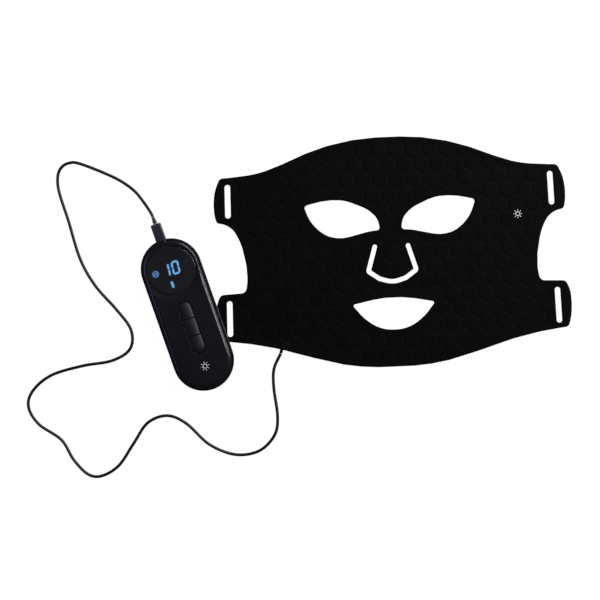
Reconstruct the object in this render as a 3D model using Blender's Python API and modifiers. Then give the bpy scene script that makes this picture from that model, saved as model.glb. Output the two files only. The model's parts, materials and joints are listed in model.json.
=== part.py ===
"""LED face mask: a flat flexible mask with light circuits inside it, and a battery controller on a cord.

Metres, +Z up. The mask lies face side down on z = 0. The origin is on the bridge of the nose, on the
face side; +X runs across the mask and +Y towards the forehead.
"""

import math

import bmesh
import bpy
import numpy as np
from mathutils import Matrix, Vector

# ---- driving dimensions ----
GAP = 0.0003  # clearance between pieces that meet

# mask layers, from the face side up
BACK_SKIN_TOP = 0.0009
LED_BOTTOM = 0.0012
CIRCUIT_BOTTOM = 0.0019
CIRCUIT_TOP = 0.0022
FRONT_ROOF_BOTTOM = 0.0025
MASK_THICKNESS = 0.0036
RIM_WALL = 0.0070  # solid silicone round the outside of the light pocket
HOLE_WALL = 0.0050  # and round each opening
CIRCUIT_CLEARANCE = 0.0006
POCKET_REACH = 0.1430  # the pocket stops here, and the strap tabs beyond are solid

# hinge lines of the mask, where its silicone bends
WING_HINGE_X = 0.1220
WING_SWING = math.radians(62)  # room for the swing each way, shared by the two edges
FLAP_HINGE_Y = -0.0170
FLAP_HINGE_HALF = 0.0136

# light emitting diodes
LED_SIZE = 0.0030
LED_PITCH = 0.0160
LED_EDGE = 0.0038  # from a light's centre to its circuit's edge
FLAP_LIGHTS = ((0.0, -0.0275), (-0.0070, -0.0365), (0.0070, -0.0365))

# strap slots: centre x, centre y, length
SLOT_WIDTH = 0.0054
SLOT_LEAN = math.radians(1.2)
STRAP_SLOTS = ((0.1536, 0.0309, 0.0320), (0.1562, -0.0806, 0.0340))

# cord and its gland
CORD_RADIUS = 0.00145
CORD_POINTS = 78
GLAND_PLACE = (-0.1085, -0.1118)
GLAND_TURN = math.radians(165)  # from +Y to the way the cord leaves
GLAND_WIDTH = 0.0110
GLAND_DEPTH = 0.0090
GLAND_NOSE = 0.0035
GLAND_NOSE_RADIUS = 0.0017

# controller: a stadium in plan
CONTROLLER_PLACE = (-0.1961, -0.0745)
CONTROLLER_YAW = math.radians(16.9)
HALF_WIDTH = 0.0290
HALF_LENGTH = 0.0748
RIM_TOP = 0.0130
FACE_TOP = 0.0200
SHOULDER = 0.0042
TOP_INSET = 0.0019  # the top shell stands this far in from the rim
WALL = 0.0018
FOOT_INSET = 0.0138
HULL_TOP = 0.0102
FLOOR_TOP = 0.0020
LEDGE_TOP = 0.0088  # the seal ring lies on this ledge
RIM_LIP = 0.0014
SKIRT_BOTTOM = 0.0104
BOARD_BOTTOM = 0.0120
BOARD_TOP = 0.0136

LENS_Y = 0.0440
LENS_RADIUS = 0.0232
LENS_TOP = 0.0196
LENS_BOTTOM = 0.0184
DISH_RADIUS = 0.0275
DISH_DEPTH = 0.0011
ADHESIVE_RING = (0.0180, 0.0205)

KEY_STRIP_Y = -0.0130
KEY_PITCH = 0.0168
KEY_WIDTH = 0.0125
KEY_TOP = 0.0207
KEY_STEM_BOTTOM = 0.0174
KEY_FLANGE = 0.0010  # the flange that holds a key under the roof reaches this far out
KEY_FLANGE_BOTTOM = 0.0166
KEY_FLANGE_TOP = 0.0176
KEY_NAMES = ("power_button", "mode_button", "level_button")

PLUG_HEIGHT = 0.0158
PLUG_BODY = (0.0100, 0.0174, 0.0050)
PLUG_TONGUE = (0.00825, 0.0063, 0.0022)
POST_RADIUS = 0.0032
BOSS_RADIUS = 0.0028
BORE_RADIUS = 0.0016
SINK_RADIUS = 0.0030
SINK_DEPTH = 0.0016
SCREW_HEAD = (0.0026, 0.0004, 0.0013)  # radius, bottom, top
SCREW_SHANK = (0.0012, 0.0010, 0.0170)
SWITCH_SIZE = (0.0050, 0.0050, 0.0012)
SWITCH_DOME = (0.0015, 0.0157)  # radius, top

# packed parts inside the controller: size, centre
DISPLAY_MODULE = ((0.0320, 0.0230, 0.0034), (0.0, 0.0440, 0.0156))
CONTROL_CHIP = ((0.0090, 0.0090, 0.0014), (0.0140, -0.0150, 0.0146))
BATTERY = ((0.0160, 0.0840, 0.0068), (0.0, -0.0020, 0.0062))
BATTERY_PAD = ((0.0160, 0.0700, 0.0010), (0.0, -0.0020, 0.0106))
BATTERY_CONNECTOR = ((0.0070, 0.0050, 0.0034), (-0.0150, -0.0300, 0.0156))
PLUG_SOCKET = ((0.0096, 0.0054, 0.0035), (0.0, 0.0667, PLUG_HEIGHT))
SOCKET_OPENING = ((0.0089, 0.0080, 0.0028), (0.0, 0.0688, PLUG_HEIGHT))
PLUG_WINDOW = ((0.0094, 0.0200, 0.0034), (0.0, HALF_LENGTH, PLUG_HEIGHT))
SCREW_PLACES = ((-0.0118, 0.0175), (0.0118, 0.0175), (-0.0118, -0.0560), (0.0118, -0.0560))

# ---- outlines: (x, y, corner radius), where no radius means the largest that fits ----
# Each is the +X half, from its highest point on the midline to its lowest.
MASK_HALF = (
    (0.0000, 0.0859, None),
    (0.0220, 0.0857, None),
    (0.0450, 0.0826, None),
    (0.0680, 0.0770, None),
    (0.0880, 0.0694, None),
    (0.1080, 0.0608, None),
    (0.1260, 0.0558, None),
    (0.1430, 0.0539, None),
    (0.1605, 0.0530, 0.0050),
    (0.1658, 0.0410, None),
    (0.1673, 0.0280, None),
    (0.1668, 0.0180, None),
    (0.1650, 0.0108, 0.0040),
    (0.1570, 0.0092, None),
    (0.1495, 0.0040, None),
    (0.1436, -0.0070, None),
    (0.1395, -0.0220, None),
    (0.1378, -0.0370, None),
    (0.1382, -0.0480, None),
    (0.1402, -0.0566, 0.0055),
    (0.1640, -0.0576, 0.0050),
    (0.1680, -0.0660, None),
    (0.1692, -0.0790, None),
    (0.1680, -0.0920, None),
    (0.1652, -0.1016, 0.0045),
    (0.1480, -0.1036, None),
    (0.1250, -0.1074, None),
    (0.0950, -0.1154, None),
    (0.0650, -0.1256, None),
    (0.0330, -0.1319, None),
    (0.0000, -0.1331, None),
)
MOUTH_HALF = (
    (0.0000, -0.0666, None),
    (0.0140, -0.0673, None),
    (0.0260, -0.0696, None),
    (0.0394, -0.0724, 0.0016),
    (0.0347, -0.0786, None),
    (0.0286, -0.0856, None),
    (0.0192, -0.0928, None),
    (0.0095, -0.0967, None),
    (0.0000, -0.0975, None),
)
EYE = (
    (0.0815, 0.0232, 0.0026),
    (0.0700, 0.0264, None),
    (0.0600, 0.0278, None),
    (0.0510, 0.0280, None),
    (0.0430, 0.0271, None),
    (0.0300, 0.0224, None),
    (0.0195, 0.0168, None),
    (0.0118, 0.0085, None),
    (0.0101, -0.0022, 0.0028),
    (0.0210, -0.0030, None),
    (0.0330, -0.0062, None),
    (0.0470, -0.0090, None),
    (0.0600, -0.0065, None),
    (0.0700, 0.0010, None),
    (0.0772, 0.0105, None),
)
# centre line of the slit round the nose flap, from its end beside the bridge to the midline
SLIT_HALF = ((0.0158, -0.0180), (0.0228, -0.0412), (0.0125, -0.0485), (0.0000, -0.0523))
SLIT_WIDTH = 0.0043

# the cord's way, from the plug down to the floor and round to the mask; heights fall to the floor
CORD_FALL = (0.0158, 0.0149, 0.0108, 0.0058, 0.0023)
CORD_WAY = (
    (-0.2244, 0.0186), (-0.2263, 0.0230), (-0.2320, 0.0322), (-0.2400, 0.0432), (-0.2500, 0.0520),
    (-0.2640, 0.0605), (-0.2925, 0.0732), (-0.3035, 0.0740), (-0.3110, 0.0692), (-0.3141, 0.0600),
    (-0.3130, 0.0460), (-0.3055, 0.0190), (-0.2960, -0.0175), (-0.2825, -0.0438), (-0.2640, -0.0665),
    (-0.2508, -0.0865), (-0.2524, -0.1048), (-0.2700, -0.1152), (-0.2985, -0.1190), (-0.3283, -0.1266),
    (-0.3464, -0.1405), (-0.3512, -0.1556), (-0.3422, -0.1724), (-0.3214, -0.1882), (-0.3105, -0.2076),
    (-0.2975, -0.2220), (-0.2846, -0.2242), (-0.2680, -0.2152), (-0.2530, -0.1949), (-0.2388, -0.1758),
    (-0.2200, -0.1697), (-0.2020, -0.1780), (-0.1811, -0.1987), (-0.1570, -0.2094), (-0.1342, -0.2070),
    (-0.1188, -0.1928), (-0.1151, -0.1750), (-0.1175, -0.1480), (-0.1166, -0.1300), (-0.1095, -0.1155),
)

# ---- colours ----
MATERIALS = {
    "silicone": ((0.010, 0.010, 0.011), 0.55, 0.0),
    "clear_silicone": ((0.60, 0.60, 0.58), 0.25, 0.0),
    "circuit": ((0.72, 0.70, 0.64), 0.50, 0.0),
    "shell": ((0.012, 0.012, 0.014), 0.38, 0.0),
    "gloss": ((0.004, 0.004, 0.006), 0.06, 0.0),
    "rubber": ((0.015, 0.015, 0.016), 0.60, 0.0),
    "board": ((0.02, 0.16, 0.06), 0.45, 0.0),
    "chip": ((0.02, 0.02, 0.02), 0.40, 0.0),
    "metal": ((0.60, 0.60, 0.62), 0.30, 1.0),
    "battery": ((0.45, 0.47, 0.50), 0.40, 0.0),
    "foam": ((0.10, 0.10, 0.10), 0.90, 0.0),
}


# ---- outlines as points ----
FIT = 0.48  # share of an edge that one rounded corner may take
ARC_STEP = math.radians(15)
OFFSET_STEP = 0.0015


def rounded(corners):
    """The closed ring through (x, y, radius) corners, each turned on an arc unless its radius is 0."""
    points = []
    for i, (x, y, radius) in enumerate(corners):
        here = Vector((x, y))
        before = Vector(corners[i - 1][:2]) - here
        after = Vector(corners[(i + 1) % len(corners)][:2]) - here
        turn = math.pi - before.angle(after)
        if radius == 0 or turn < math.radians(1):
            points += [here] if turn > math.radians(1) else []
            continue
        reach = FIT * min(before.length, after.length)
        if radius:
            reach = min(reach, radius * math.tan(turn / 2))
        radius = reach / math.tan(turn / 2)
        middle = (before.normalized() + after.normalized()).normalized()
        centre = here + middle * math.hypot(reach, radius)
        arm = here + before.normalized() * reach - centre
        side = -1 if before.cross(after) > 0 else 1
        steps = max(1, round(turn / ARC_STEP))
        for k in range(steps + 1):
            points.append(centre + Matrix.Rotation(side * turn * k / steps, 2) @ arm)
    return np.array(points)


def mirrored(half):
    """The whole ring of corners from a half that starts and ends on the midline."""
    return tuple(half) + tuple((-x, y, r) for x, y, r in reversed(half[1:-1]))


def flipped(points):
    """The same ring on the other side of the midline."""
    return points[::-1] * np.array((-1.0, 1.0))


def subdivided(points, step):
    """The ring with points added so that no two neighbours are further apart than step."""
    ring = []
    for here, after in zip(points, np.roll(points, -1, 0)):
        parts = max(1, math.ceil(np.linalg.norm(after - here) / step))
        ring += [here + (after - here) * k / parts for k in range(parts)]
    return np.array(ring)


def thinned(points, tolerance):
    """The ring without the points that lie within tolerance of a straight run between their neighbours."""
    furthest = np.argmax(np.linalg.norm(points - points.mean(0), axis=1))
    points = np.roll(points, -furthest, 0)
    kept = [points[0]]
    start = 0
    for end in range(2, len(points) + 1):
        run = points[end % len(points)] - points[start]
        between = points[start + 1 : end] - points[start]
        away = abs(between[:, 0] * run[1] - between[:, 1] * run[0]) / np.linalg.norm(run)
        if away.max() > tolerance:
            start = end - 1
            kept.append(points[start])
    return np.array(kept)


def offset(points, distance):
    """The ring moved outwards by distance, or inwards if negative, without the loops at tight corners."""
    points = subdivided(points, OFFSET_STEP)
    ahead = np.roll(points, -1, 0) - points
    length = np.linalg.norm(ahead, axis=1)[:, None]
    ahead = ahead / length
    tangent = ahead + np.roll(ahead, 1, 0)
    tangent /= np.linalg.norm(tangent, axis=1)[:, None]
    area = np.sum(points[:, 0] * np.roll(points[:, 1], -1) - points[:, 1] * np.roll(points[:, 0], -1))
    normal = np.stack((tangent[:, 1], -tangent[:, 0]), 1) * np.sign(area)
    moved = points + normal * distance
    along = np.einsum("ijk,jk->ij", moved[:, None] - points[None], ahead)
    nearest = points[None] + np.clip(along, 0, length[:, 0])[:, :, None] * ahead[None]
    clear = np.linalg.norm(moved[:, None] - nearest, axis=2).min(1)
    return thinned(moved[clear > abs(distance) * 0.99], OFFSET_STEP / 30)


def stadium(half_width, half_length, steps=12):
    """A ring with straight sides and half-round ends, long in Y."""
    straight = half_length - half_width
    angles = np.linspace(0, math.pi, steps + 1)
    arc = np.stack((np.cos(angles), np.sin(angles)), 1) * half_width
    return np.concatenate((arc + (0, straight), -arc - (0, straight)))


def slot(x, y, length, width, lean):
    """A strap slot's ring, its lower end leaning away from the midline."""
    turn = np.array(Matrix.Rotation(lean, 2))
    return stadium(width / 2, length / 2, 6) @ turn.T + (x, y)


def slit_side(distance):
    """The half slit's centre line moved outwards by distance, from its end to the midline."""
    line = [Vector(p) for p in SLIT_HALF]
    points = []
    for i, here in enumerate(line):
        before = (here - line[i - 1]).normalized() if i else None
        after = (line[i + 1] - here).normalized() if i + 1 < len(line) else Vector((-1, 0))
        before = before or after
        middle = (before + after).normalized()
        outward = Vector((-middle.y, middle.x))
        points.append(here + outward * distance / middle.dot(after))
    return points


def flap_ring():
    """Outline of the nose flap, hinged along its top edge."""
    right = slit_side(-SLIT_WIDTH / 2)
    top = FLAP_HINGE_Y - GAP / 2
    half = [(0, top, 0), (FLAP_HINGE_HALF, top, 0)]
    half += [(p.x, p.y, 0.0015) for p in right[1:3]] + [(0, right[3].y, None)]
    return rounded(mirrored(half))


def nose_ring():
    """Outline of the opening that holds the flap and the slit round it."""
    right = slit_side(SLIT_WIDTH / 2)
    top = FLAP_HINGE_Y + GAP / 2
    end = SLIT_HALF[0]
    half = [(0, top, 0), (FLAP_HINGE_HALF, top, 0), (end[0] - 0.0024, end[1] + 0.0024, 0.0018)]
    half += [(end[0] + 0.0016, end[1] + 0.0026, 0.0018)]
    half += [(p.x, p.y, 0.0040) for p in right[1:3]] + [(0, right[3].y, None)]
    return rounded(mirrored(half))


# ---- modelling helpers ----
def material(name):
    colour, roughness, metallic = MATERIALS[name]
    made = bpy.data.materials.new(name)
    made.use_nodes = True
    shader = made.node_tree.nodes["Principled BSDF"]
    shader.inputs["Base Color"].default_value = (*colour, 1)
    shader.inputs["Roughness"].default_value = roughness
    shader.inputs["Metallic"].default_value = metallic
    return made


class Workshop:
    """Holds the collections and materials, and adds objects to them."""

    def __init__(self):
        for obj in list(bpy.data.objects):
            bpy.data.objects.remove(obj, do_unlink=True)
        self.parts = bpy.data.collections.new("led_face_mask")
        self.cutters = bpy.data.collections.new("cutters")
        for collection in (self.parts, self.cutters):
            bpy.context.scene.collection.children.link(collection)
        self.materials = {name: material(name) for name in MATERIALS}

    def empty(self, name, place, yaw=0.0, parent=None):
        made = bpy.data.objects.new(name, None)
        made.location = place
        made.rotation_euler.z = yaw
        made.parent = parent
        self.parts.objects.link(made)
        bpy.context.view_layer.update()
        return made

    def add(self, name, mesh, finish=None, parent=None, at=(0, 0, 0)):
        """A part if it has a finish, otherwise a cutter. Its mesh is in its parent's frame."""
        made = bpy.data.objects.new(name, mesh)
        made.location = at
        made.parent = parent
        if finish:
            self.parts.objects.link(made)
            mesh.materials.clear()
            mesh.materials.append(self.materials[finish])
            mesh.shade_smooth()
            mesh.set_sharp_from_angle(angle=math.radians(35))
        else:
            self.cutters.objects.link(made)
            made.hide_render = True
            made.display_type = "WIRE"
        return made


def shape(part, operation, tool):
    modifier = part.modifiers.new(operation.lower(), "BOOLEAN")
    modifier.operation = operation
    modifier.object = tool
    modifier.solver = "EXACT"


def baked(obj):
    """A new mesh of the object as it stands, with its modifiers applied."""
    graph = bpy.context.evaluated_depsgraph_get()
    return bpy.data.meshes.new_from_object(obj.evaluated_get(graph))


def flat(rings, bottom, top):
    """A mesh between two heights of the flat outlines; a ring inside another is a hole."""
    curve = bpy.data.curves.new("outline", "CURVE")
    curve.dimensions = "2D"
    curve.fill_mode = "BOTH"
    curve.extrude = (top - bottom) / 2
    for ring in rings:
        spline = curve.splines.new("POLY")
        spline.points.add(len(ring) - 1)
        spline.points.foreach_set("co", [v for x, y in ring for v in (x, y, 0, 1)])
        spline.use_cyclic_u = True
    holder = bpy.data.objects.new("outline", curve)
    bpy.context.scene.collection.objects.link(holder)
    bpy.context.view_layer.update()
    mesh = baked(holder)
    bpy.data.objects.remove(holder)
    bpy.data.curves.remove(curve)
    mesh.transform(Matrix.Translation((0, 0, (bottom + top) / 2)))
    return welded(mesh)


def welded(mesh):
    form = bmesh.new()
    form.from_mesh(mesh)
    bmesh.ops.remove_doubles(form, verts=form.verts, dist=1e-6)
    bmesh.ops.recalc_face_normals(form, faces=form.faces)
    form.to_mesh(mesh)
    form.free()
    return mesh


def block(size, centre, bevel=0.0):
    """A box mesh, its upright edges rounded if a bevel is given."""
    form = bmesh.new()
    bmesh.ops.create_cube(form, size=1)
    bmesh.ops.scale(form, vec=size, verts=form.verts)
    bmesh.ops.translate(form, vec=centre, verts=form.verts)
    if bevel:
        upright = [e for e in form.edges if abs(e.verts[0].co.z - e.verts[1].co.z) > size[2] / 2]
        bmesh.ops.bevel(form, geom=upright, offset=bevel, segments=3, profile=0.5, affect="EDGES")
    mesh = bpy.data.meshes.new("block")
    form.to_mesh(mesh)
    form.free()
    return mesh


def cylinder(radius, bottom, top, centre=(0, 0), sides=24, top_radius=None):
    """An upright cylinder, or a cone where the top radius differs."""
    form = bmesh.new()
    bmesh.ops.create_cone(
        form,
        cap_ends=True,
        segments=sides,
        radius1=radius,
        radius2=radius if top_radius is None else top_radius,
        depth=top - bottom,
        matrix=Matrix.Translation((*centre, (bottom + top) / 2)),
    )
    mesh = bpy.data.meshes.new("cylinder")
    form.to_mesh(mesh)
    form.free()
    return mesh


def lofted(levels):
    """A closed mesh through stadium rings at (inset, height), capped at the first and the last."""
    form = bmesh.new()
    rings = []
    for inset, height in levels:
        ring = stadium(HALF_WIDTH - inset, HALF_LENGTH - inset)
        rings.append([form.verts.new((x, y, height)) for x, y in ring])
    count = len(rings[0])
    for low, high in zip(rings, rings[1:]):
        for i in range(count):
            j = (i + 1) % count
            form.faces.new((low[i], low[j], high[j], high[i]))
    form.faces.new(rings[0])
    form.faces.new(rings[-1])
    bmesh.ops.recalc_face_normals(form, faces=form.faces)
    mesh = bpy.data.meshes.new("loft")
    form.to_mesh(mesh)
    form.free()
    return mesh


def joined(meshes):
    """One mesh of several separate ones, for a cutter or a union."""
    form = bmesh.new()
    for mesh in meshes:
        form.from_mesh(mesh)
    made = bpy.data.meshes.new("joined")
    form.to_mesh(made)
    form.free()
    return made


# ---- the mask ----
def hinge_block(inner, outer):
    """A block between two x values, with the edges that face a wing hinge cut to a V for its swing."""
    height = 0.02
    middle = MASK_THICKNESS / 2
    spread = (height / 2) * math.tan(WING_SWING / 2)
    profile = []
    for x, into in ((inner, 1), (outer, -1)):
        at_hinge = abs(abs(x) - WING_HINGE_X) < GAP
        shift = into * spread if at_hinge else 0.0
        profile.append([(x + shift, middle - height / 2), (x, middle), (x + shift, middle + height / 2)])
    ring = profile[0] + profile[1][::-1]
    mesh = flat([np.array(ring)], -0.2, 0.2)
    mesh.transform(Matrix.Rotation(math.radians(90), 4, "X"))
    return welded(mesh)


def light_places(rings):
    """Centres of the lights: a staggered grid, clear of the circuit's edges and of the hinge lines."""
    edges = np.concatenate([np.stack((r, np.roll(r, -1, 0)), 1) for r in rings])
    start, run = edges[:, 0], edges[:, 1] - edges[:, 0]
    row_step = LED_PITCH * math.sin(math.radians(60))
    places = []
    for row in range(-9, 9):
        shift = LED_PITCH / 2 if row % 2 else 0.0
        for column in range(-9, 10):
            here = np.array((column * LED_PITCH + shift, row * row_step - 0.0240))
            share = np.einsum("ij,ij->i", here - start, run) / np.einsum("ij,ij->i", run, run)
            near = start + np.clip(share, 0, 1)[:, None] * run
            if np.linalg.norm(here - near, axis=1).min() < LED_EDGE:
                continue
            crosses = (edges[:, 0, 1] > here[1]) != (edges[:, 1, 1] > here[1])
            level = np.where(run[:, 1] == 0, 1.0, run[:, 1])
            at = start[:, 0] + (here[1] - start[:, 1]) / level * run[:, 0]
            inside = np.count_nonzero(crosses & (at > here[0])) % 2
            if inside and abs(abs(here[0]) - WING_HINGE_X) > LED_EDGE:
                places.append(here)
    return places


def lights(places):
    """One mesh of all the lights on a circuit, standing a little into it."""
    depth = CIRCUIT_BOTTOM - LED_BOTTOM + GAP / 3
    size = (LED_SIZE, LED_SIZE, depth)
    return joined([block(size, (x, y, LED_BOTTOM + depth / 2)) for x, y in places])


def gland_frame():
    return Matrix.Translation((*GLAND_PLACE, 0)) @ Matrix.Rotation(GLAND_TURN, 4, "Z")


def gland_cutter():
    """The notch in the mask's edge that the gland fills."""
    size = (GLAND_WIDTH + 2 * GAP, GLAND_DEPTH + GAP + 0.01, 0.02)
    mesh = block(size, (0, 0.005 - (GLAND_DEPTH + GAP) / 2, 0))
    mesh.transform(gland_frame())
    return mesh


def make_mask(shop):
    outline = rounded(mirrored(MASK_HALF))
    eye = rounded(EYE)
    openings = [eye, flipped(eye), rounded(mirrored(MOUTH_HALF)), nose_ring()]
    slots = []
    for x, y, length in STRAP_SLOTS:
        ring = slot(x, y, length, SLOT_WIDTH, SLOT_LEAN)
        slots += [ring, flipped(ring)]

    front = shop.add("front_whole", flat([outline] + openings + slots, LED_BOTTOM, MASK_THICKNESS))
    pocket = [offset(outline, -RIM_WALL)] + [offset(ring, HOLE_WALL) for ring in openings]
    hollow = shop.add("light_pocket", flat(pocket, 0.0, FRONT_ROOF_BOTTOM))
    reach = shop.add("pocket_reach", block((2 * POCKET_REACH, 0.4, 0.02), (0, 0, 0)))
    shape(hollow, "INTERSECT", reach)
    notch = shop.add("gland_notch", gland_cutter())
    shape(front, "DIFFERENCE", hollow)
    shape(front, "DIFFERENCE", notch)
    back = shop.add("back_whole", flat([outline] + openings + slots, 0.0, BACK_SKIN_TOP))
    shape(back, "DIFFERENCE", notch)

    wide = RIM_WALL + CIRCUIT_CLEARANCE
    sheet = [offset(outline, -wide)]
    sheet += [offset(ring, HOLE_WALL + CIRCUIT_CLEARANCE) for ring in openings]
    circuit = shop.add("circuit_whole", flat(sheet, CIRCUIT_BOTTOM, CIRCUIT_TOP))
    shape(circuit, "UNION", shop.add("lights_whole", lights(light_places(sheet))))
    circuit_reach = 2 * (POCKET_REACH - CIRCUIT_CLEARANCE)
    shape(circuit, "INTERSECT", shop.add("circuit_reach", block((circuit_reach, 0.4, 0.02), (0, 0, 0))))
    shape(circuit, "DIFFERENCE", notch)
    bpy.context.view_layer.update()

    inner = WING_HINGE_X - GAP / 2
    outer = WING_HINGE_X + GAP / 2
    spans = {"mask": (-inner, inner), "left_wing": (-0.18, -outer), "right_wing": (outer, 0.18)}
    layers = (
        ("front_skin", front, "silicone"),
        ("back_skin", back, "clear_silicone"),
        ("led_circuit", circuit, "circuit"),
    )
    for body, (low, high) in spans.items():
        region = shop.add(body + "_region", hinge_block(low, high))
        at = (math.copysign(WING_HINGE_X, low), 0, MASK_THICKNESS / 2)
        parent = None if body == "mask" else shop.empty(body + "_hinge", at)
        for layer, whole, finish in layers:
            mesh = baked(whole)
            piece = shop.add(body + "_" + layer, mesh, finish)
            shape(piece, "INTERSECT", region)
            hang(piece, parent)


def hang(piece, parent):
    """Parents a piece that is already in place."""
    if parent:
        piece.parent = parent
        piece.matrix_parent_inverse = parent.matrix_world.inverted()


def make_nose_flap(shop):
    hinge = shop.empty("nose_flap_hinge", (0, FLAP_HINGE_Y, MASK_THICKNESS))
    ring = flap_ring()
    front = shop.add("nose_flap_front_skin", flat([ring], LED_BOTTOM, MASK_THICKNESS), "silicone")
    pocket = shop.add("flap_pocket", flat([offset(ring, -HOLE_WALL)], 0.0, FRONT_ROOF_BOTTOM))
    shape(front, "DIFFERENCE", pocket)
    back = shop.add("nose_flap_back_skin", flat([ring], 0.0, BACK_SKIN_TOP), "clear_silicone")
    sheet = offset(ring, -HOLE_WALL - CIRCUIT_CLEARANCE)
    circuit = shop.add("nose_flap_led_circuit", flat([sheet], CIRCUIT_BOTTOM, CIRCUIT_TOP), "circuit")
    shape(circuit, "UNION", shop.add("flap_lights", lights(FLAP_LIGHTS)))
    for piece in (front, back, circuit):
        hang(piece, hinge)


# ---- the cord ----
def smooth_way(way, count):
    """Points at even steps along the smooth curve through a list of points."""
    knots = np.array([way[0]] + list(way) + [way[-1]])
    fine = []
    for a, b, c, d in zip(knots, knots[1:], knots[2:], knots[3:]):
        for t in np.linspace(0, 1, 12, endpoint=False):
            square = (2 * a - 5 * b + 4 * c - d) * t**2
            cube = (3 * b - a - 3 * c + d) * t**3
            fine.append(0.5 * (2 * b + (c - a) * t + square + cube))
    fine = np.array(fine + [knots[-1]])
    run = np.concatenate(([0], np.cumsum(np.linalg.norm(np.diff(fine, axis=0), axis=1))))
    even = np.linspace(0, run[-1], count)
    return np.stack([np.interp(even, run, fine[:, k]) for k in range(3)], 1)


def make_cord(shop):
    heights = list(CORD_FALL) + [CORD_RADIUS] * (len(CORD_WAY) - len(CORD_FALL) - 1) + [MASK_THICKNESS / 2]
    way = [(x, y, z) for (x, y), z in zip(CORD_WAY, heights)]
    curve = bpy.data.curves.new("cord", "CURVE")
    curve.dimensions = "3D"
    curve.bevel_depth = CORD_RADIUS
    curve.bevel_resolution = 2
    curve.use_fill_caps = True
    points = smooth_way(way, CORD_POINTS)
    spline = curve.splines.new("POLY")
    spline.points.add(len(points) - 1)
    spline.points.foreach_set("co", [v for p in points for v in (*p, 1)])
    cord = bpy.data.objects.new("cord", curve)
    curve.materials.append(shop.materials["rubber"])
    shop.parts.objects.link(cord)

    block_size = (GLAND_WIDTH, GLAND_DEPTH, MASK_THICKNESS)
    gland = block(block_size, (0, -GLAND_DEPTH / 2, MASK_THICKNESS / 2))
    nose = cylinder(GLAND_NOSE_RADIUS, -0.001, GLAND_NOSE, sides=16, top_radius=CORD_RADIUS + 0.0001)
    level = Matrix.Rotation(math.radians(-90), 4, "X")
    nose.transform(Matrix.Translation((0, 0, MASK_THICKNESS / 2)) @ level)
    for mesh in (gland, nose):
        mesh.transform(gland_frame())
    body = shop.add("cable_gland", gland, "rubber")
    shape(body, "UNION", shop.add("gland_nose", nose))


# ---- the controller ----
def shoulder(inset, radius, top, steps=4):
    """Levels of a rounded edge that climbs from an inset to a height."""
    angles = [math.radians(90) * k / steps for k in range(steps + 1)]
    return [(inset + radius * (1 - math.cos(a)), top - radius * (1 - math.sin(a))) for a in angles]


def make_shells(shop, parent):
    inner = TOP_INSET + WALL
    levels = [(FOOT_INSET, 0.0), (0.0030, 0.0078), (0.0008, 0.0092), (0.0, HULL_TOP)]
    levels += [(0.0, RIM_TOP - 0.0006), (0.0005, RIM_TOP), (RIM_LIP, RIM_TOP), (RIM_LIP, LEDGE_TOP)]
    levels += [(inner, LEDGE_TOP), (0.0052, 0.0080), (FOOT_INSET + 0.0008, FLOOR_TOP)]
    bottom = shop.add("controller_bottom_shell", lofted(levels), "shell", parent)
    posts = [cylinder(POST_RADIUS, FLOOR_TOP / 2, BOARD_BOTTOM - GAP, place, 16) for place in SCREW_PLACES]
    shape(bottom, "UNION", shop.add("posts", joined(posts), parent=parent))
    bores = [cylinder(BORE_RADIUS, -SINK_DEPTH, RIM_TOP, place, 16) for place in SCREW_PLACES]
    shape(bottom, "DIFFERENCE", shop.add("screw_bores", joined(bores), parent=parent))
    sinks = [cylinder(SINK_RADIUS, -SINK_DEPTH, SINK_DEPTH, place, 16) for place in SCREW_PLACES]
    shape(bottom, "DIFFERENCE", shop.add("screw_sinks", joined(sinks), parent=parent))

    roof = FACE_TOP - WALL
    levels = [(inner, SKIRT_BOTTOM), (TOP_INSET, SKIRT_BOTTOM)]
    levels += shoulder(TOP_INSET, SHOULDER, FACE_TOP)
    cup = shop.add("controller_top_shell", lofted(levels), "shell", parent)
    levels = [(inner, SKIRT_BOTTOM - 0.001)] + shoulder(inner, SHOULDER - WALL, roof, 2)
    shape(cup, "DIFFERENCE", shop.add("top_cavity", lofted(levels), parent=parent))
    bosses = [cylinder(BOSS_RADIUS, BOARD_TOP + GAP, roof + WALL / 2, place, 16) for place in SCREW_PLACES]
    shape(cup, "UNION", shop.add("bosses", joined(bosses), parent=parent))
    threads = [cylinder(BORE_RADIUS, SKIRT_BOTTOM, roof - GAP * 2, place, 12) for place in SCREW_PLACES]
    shape(cup, "DIFFERENCE", shop.add("thread_holes", joined(threads), parent=parent))
    centre = (0, LENS_Y)
    window = cylinder(LENS_RADIUS + GAP, LENS_BOTTOM - 0.008, FACE_TOP + 0.008, centre, 48)
    shape(cup, "DIFFERENCE", shop.add("window", window, parent=parent))
    low = FACE_TOP - DISH_DEPTH
    slope = (DISH_RADIUS - LENS_RADIUS) / DISH_DEPTH
    dish = cylinder(LENS_RADIUS, low, FACE_TOP + DISH_DEPTH, centre, 48, LENS_RADIUS + 2 * slope * DISH_DEPTH)
    shape(cup, "DIFFERENCE", shop.add("dish", dish, parent=parent))
    strip = stadium(KEY_WIDTH / 2 + GAP, 1.5 * KEY_PITCH + GAP, 8) + (0, KEY_STRIP_Y)
    key_window = flat([strip], roof - 0.003, FACE_TOP + 0.003)
    shape(cup, "DIFFERENCE", shop.add("key_window", key_window, parent=parent))
    shape(cup, "DIFFERENCE", shop.add("plug_window", block(*PLUG_WINDOW), parent=parent))

    low, high = LEDGE_TOP + GAP, SKIRT_BOTTOM - GAP
    levels = [(RIM_LIP + GAP, low), (RIM_LIP + GAP, high)]
    seal = shop.add("controller_seal_ring", lofted(levels), "rubber", parent)
    hole = [(inner, low - GAP), (inner, high + GAP)]
    shape(seal, "DIFFERENCE", shop.add("seal_hole", lofted(hole), parent=parent))


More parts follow.
